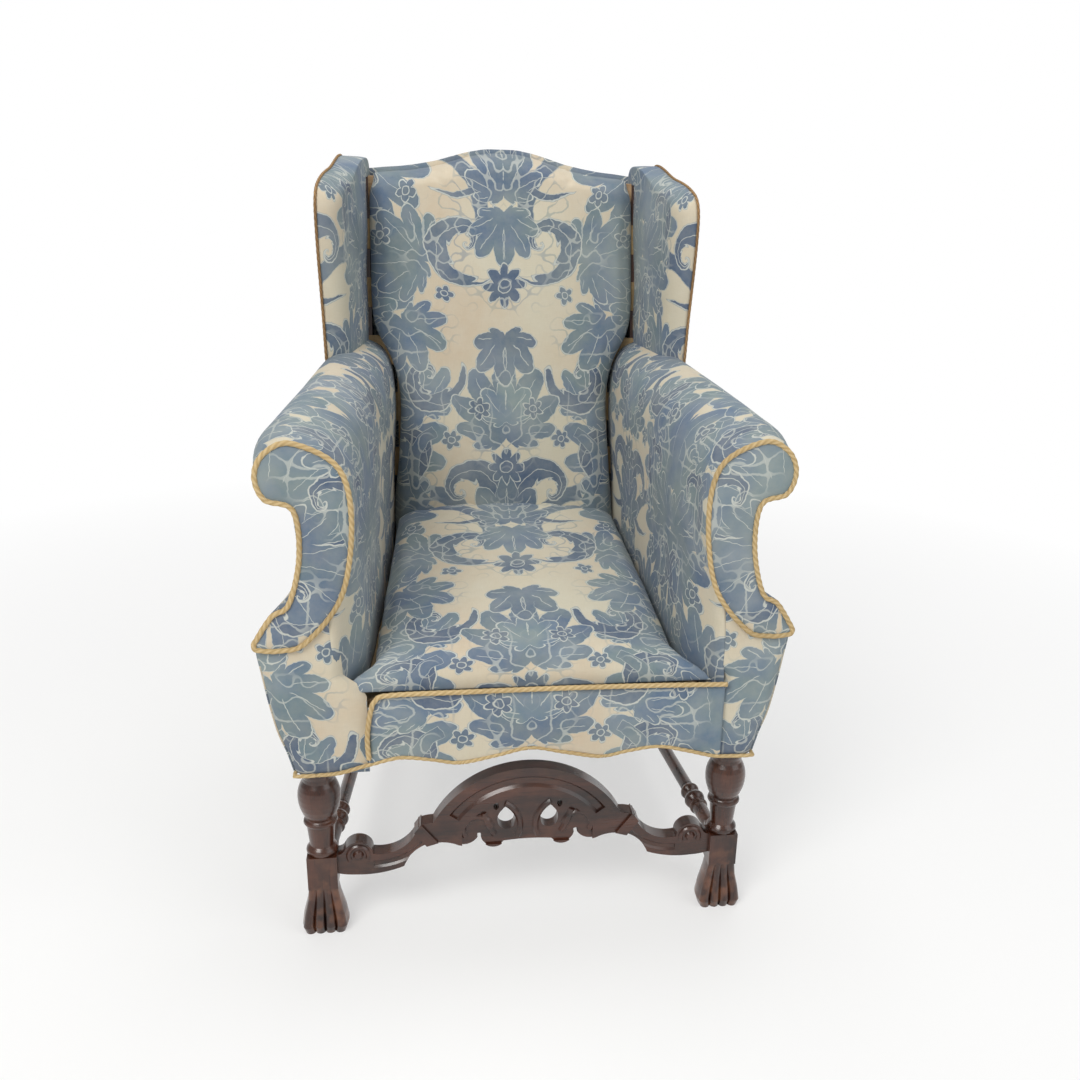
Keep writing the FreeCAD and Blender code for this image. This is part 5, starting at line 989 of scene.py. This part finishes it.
# %% Front border of the seat
def border_grid(count_x=150, count_z=34):
    """Panel between the corded seam above and the wavy hem below, puffed a few millimetres."""
    x = np.linspace(-225, 277, count_x)
    line = smooth(HEM, 400)
    low = np.interp(x, line[:, 0], line[:, 1]) + 1.0
    chain = smooth(SEAT_SEAM, 300)
    high = np.interp(x, chain[40:, 0], chain[40:, 1])
    s = np.linspace(0, 1, count_z)[:, None]
    z = low + (high - low) * s
    xx = np.repeat(x[None], count_z, 0)
    near = np.minimum(np.minimum(z - low, high - z), np.minimum(xx + 226, 290 - xx))
    y = 1.6 - 5.0 * (1 - np.exp(-near / 16)) + 0.8 * ripple(np.stack([xx, z], -1), 130, 4)
    return np.stack([xx, y, z], -1)


border = border_grid()
damask_piece("seat_front_panel", border, 1, False, border[..., (0, 2)] / 1000 - (0, 0.28), CLOTH_BORDER,
             ["front_border_cover", "front_border_stuffing"])

# %% Outside back
def outside_back_grid(count_x=70, count_z=80):
    """Flat leaning panel from the hem to the crest, wide enough to close the arms and wings behind."""
    z_rows = np.array([283, 500, 700, 718, 750, 773, 790, 930, 1066, 1078])
    w_rows = np.array([271.4, 271.4, 272, 291, 300, 293, 280, 278.5, 276, 262])
    s = np.linspace(-1, 1, count_x)
    v = np.linspace(0, 1, count_z)
    guess = 283 + v * (1078 - 283)
    half = np.interp(guess, z_rows, w_rows)
    x = half[:, None] * s[None]
    z = 283 + v[:, None] * (np.minimum(camel(x), 1112) - 283)
    y = back_rear(z) + 3.0 + 2.5 * (1 - s[None] ** 2) * (1 - (2 * v[:, None] - 1) ** 4)
    return np.stack([x, y, z], -1)


panel = outside_back_grid()
damask_piece("outside_back", panel, 1, True, panel[..., (0, 2)] / 1000 - (0, 0.4), CLOTH, ["outside_back_cover"])

# %% [markdown]
# What lies inside and under the chair is seldom seen, but it is there. The dust cloth is a sheet of thin
# black cotton, stretched under the seat frame with a slight sag. The CAD solids of the frame, webbing and
# springs have the right shapes, so they only get their finishes.

# %% Dust cloth under the seat
def dust_cloth(count=40):
    """Grid over the seat frame's plan, with a few millimetres of sag in the middle."""
    front, rear = 51, 579
    y = np.concatenate([[front, 60, 70, 78], np.linspace(90, 541, count), [542, 560, rear]])
    half = np.interp(y, [front, 78, 541, 542, rear], [276.5, 286.5, 266, 229, 229])
    s = np.linspace(-1, 1, count)
    x = half[:, None] * s
    yy = np.repeat(y[:, None], count, 1)
    share = (yy - front) / (rear - front)
    sag = 3.0 * (1 - s[None] ** 2) * 4 * share * (1 - share)
    return np.stack([x, yy, 280.2 - sag], -1)


under = dust_cloth()
piece = mesh_from("dust_cloth", under.reshape(-1, 3), quads(*under.shape[:2], flip=True),
                  under[..., (0, 1)].reshape(-1, 2) / 1000)
own(thicken(piece, 0.8), ["bottom_cloth"])

# %% Finishes of the solids
def metal(name, colour, rough):
    material, tree, shader = new_material(name)
    spot = put(tree, "ShaderNodeTexCoord")
    patch = noise(tree, spot.outputs["Object"], 160.0, 3.0)
    tree.links.new(blend(tree, patch, colour, tuple(v * 0.55 for v in colour)), shader.inputs["Base Color"])
    tree.links.new((patch * 0.25 + rough).socket, shader.inputs["Roughness"])
    shader.inputs["Metallic"].default_value = 1.0
    return material


def beech_material():
    """Unpolished beech of the hidden frame: short flecks stretched along the board."""
    material, tree, shader = new_material("beech_frame")
    spot = put(tree, "ShaderNodeTexCoord")
    long = put(tree, "ShaderNodeMapping", {"Vector": spot.outputs["Object"], "Scale": (30.0, 160.0, 160.0)})
    streak = noise(tree, long.outputs[0], 1.0, 4.0)
    colour = blend(tree, streak.step(0.3, 0.7), (0.33, 0.2, 0.1), (0.56, 0.39, 0.23))
    tree.links.new(colour, shader.inputs["Base Color"])
    tree.links.new((streak * 0.2 + 0.55).socket, shader.inputs["Roughness"])
    finish_shader(tree, shader, streak, 0.3, 0.0004)
    return material


finishes = {
    "frame_timber": beech_material(),
    "jute_webbing": plain_cloth("jute", (0.46, 0.33, 0.18), (0.24, 0.16, 0.08), 260.0),
    "hessian": plain_cloth("hessian_cloth", (0.5, 0.38, 0.23), (0.27, 0.19, 0.1), 340.0),
    "black_cotton": plain_cloth("dust_cloth", (0.03, 0.03, 0.032), (0.012, 0.012, 0.013), 700.0),
    "spring_steel": metal("spring_wire", (0.42, 0.38, 0.33), 0.35),
    "screw_steel": metal("screw_metal", (0.5, 0.48, 0.45), 0.3),
    "damask_cotton": CLOTH, "cord_cotton": GOLD_CORD,
    "hair_stuffing": plain_cloth("felt", (0.55, 0.5, 0.42), (0.3, 0.26, 0.2), 200.0),
}
cross_pieces = ("front_stretcher", "rear_stretcher")
for row in frame["record"]["subparts"]:
    node, slot_name = row["node"], row["material_slot"]
    made = finishes.get(slot_name) or (WALNUT_CROSS if node in cross_pieces else WALNUT)
    mesh = frame["nodes"][node].data
    mesh.materials.clear()
    mesh.materials.append(made)

# %% [markdown]
# The photograph was taken from above the seat's left, with the camera turned a little and tipped down.
# The camera's place was worked out from edges known to be level or upright, and its small shift
# comes from the framing. The side of the frame, the focal length and the point that the camera faces are in
# pixels of the picture. The floor and the backdrop are pale, and the lamps are large and soft.

# %% Camera, floor, backdrop and lamps
PHOTO_SIDE = 1080
FOCAL_LENGTH = 1078.06
CENTRE = (593.17, 558.54)
SENSOR = 36
camera_data = bpy.data.cameras.new("camera")
camera = bpy.data.objects.new("camera", camera_data)
bpy.context.scene.collection.objects.link(camera)
yaw, pitch, roll = (math.radians(v) for v in (8.928, 19.977, 1.958))
forward = np.array([math.sin(yaw) * math.cos(pitch), math.cos(yaw) * math.cos(pitch), -math.sin(pitch)])
right = np.array([math.cos(yaw), -math.sin(yaw), 0.0])
upward = np.cross(right, forward)
right, upward = (math.cos(roll) * right + math.sin(roll) * upward,
                 -math.sin(roll) * right + math.cos(roll) * upward)
place = metres((-131.1, -1341.5, 1089.5))
matrix = np.eye(4)
matrix[:3, 0], matrix[:3, 1], matrix[:3, 2], matrix[:3, 3] = right, upward, -forward, place
camera.matrix_world = Matrix(matrix.tolist())
camera_data.sensor_width = SENSOR
camera_data.lens = SENSOR * FOCAL_LENGTH / PHOTO_SIDE
camera_data.shift_x = -(CENTRE[0] - PHOTO_SIDE / 2) / PHOTO_SIDE
camera_data.shift_y = (CENTRE[1] - PHOTO_SIDE / 2) / PHOTO_SIDE
camera_data.clip_end = 60
bpy.context.scene.camera = camera


def pale_material(name, colour, seen):
    """Pale surface: lit as its colour, but the camera and reflections also see an even white: at least
    the share seen of it near the chair, and all of it further away, so that no horizon shows."""
    material = bpy.data.materials.new(name)
    material.use_nodes = True
    tree = material.node_tree
    shader = tree.nodes["Principled BSDF"]
    shader.inputs["Base Color"].default_value = (*colour, 1)
    shader.inputs["Roughness"].default_value = 0.9
    shader.inputs["Specular IOR Level"].default_value = 0.1
    path = put(tree, "ShaderNodeLightPath")
    look = Formula(tree, path.outputs["Is Camera Ray"]).most(Formula(tree, path.outputs["Is Glossy Ray"]))
    look = look.most(Formula(tree, path.outputs["Is Transmission Ray"]))
    spot = put(tree, "ShaderNodeTexCoord")
    away = put(tree, "ShaderNodeVectorMath", {0: spot.outputs["Object"]}, operation="LENGTH")
    far = Formula(tree, away.outputs["Value"]).step(0.55, 2.3)
    glow = put(tree, "ShaderNodeEmission", {"Color": (1, 1, 1, 1), "Strength": 1.0})
    mix = put(tree, "ShaderNodeMixShader", {0: look * (far * (1 - seen) + seen), 1: shader.outputs[0],
                                            2: glow.outputs[0]})
    tree.links.new(mix.outputs[0], tree.nodes["Material Output"].inputs["Surface"])
    return material


def stage_plane(name, corners, material):
    mesh = bpy.data.meshes.new(name)
    mesh.from_pydata(corners, [], [(0, 1, 2, 3)])
    mesh.materials.append(material)
    plane = bpy.data.objects.new(name, mesh)
    bpy.context.scene.collection.objects.link(plane)


FAR = 9
stage_plane("floor", [(-FAR, -FAR, 0), (FAR, -FAR, 0), (FAR, FAR, 0), (-FAR, FAR, 0)],
            pale_material("floor_pale", (0.9, 0.9, 0.89), 0.45))
stage_plane("backdrop", [(-FAR, FAR, 0), (FAR, FAR, 0), (FAR, FAR, FAR), (-FAR, FAR, FAR)],
            pale_material("backdrop_white", (1, 1, 1), 1.0))

world = bpy.data.worlds.new("studio")
bpy.context.scene.world = world
world.use_nodes = True
tree = world.node_tree
light_path = put(tree, "ShaderNodeLightPath")
through = Formula(tree, light_path.outputs["Is Transmission Ray"])
seen = Formula(tree, light_path.outputs["Is Camera Ray"]).most(through)
strength = seen * 0.55 + 0.45
background = tree.nodes["Background"]
background.inputs["Color"].default_value = (1, 1, 1, 1)
tree.links.new(strength.socket, background.inputs["Strength"])


def soft_lamp(name, place, target, size, power, colour=(1, 1, 1)):
    """Square area lamp that looks at a target."""
    data = bpy.data.lights.new(name, "AREA")
    data.size = size
    data.energy = power
    data.color = colour
    lamp = bpy.data.objects.new(name, data)
    bpy.context.scene.collection.objects.link(lamp)
    z = np.array(place, float) - target
    z /= np.linalg.norm(z)
    x = np.cross((0, 0, 1), z)
    x /= np.linalg.norm(x)
    m = np.eye(4)
    m[:3, 0], m[:3, 1], m[:3, 2], m[:3, 3] = x, np.cross(z, x), z, place
    lamp.matrix_world = Matrix(m.tolist())


soft_lamp("key", (-1.6, -2.4, 2.9), (0, 0, 0.6), 1.6, 74, (1.0, 0.985, 0.96))
soft_lamp("fill", (2.4, -1.9, 1.8), (0, 0, 0.5), 2.2, 22, (0.97, 0.985, 1.0))
soft_lamp("top", (0.2, 0.6, 3.2), (0, 0, 0.6), 1.6, 26)
bpy.context.scene.view_settings.view_transform = "Standard"
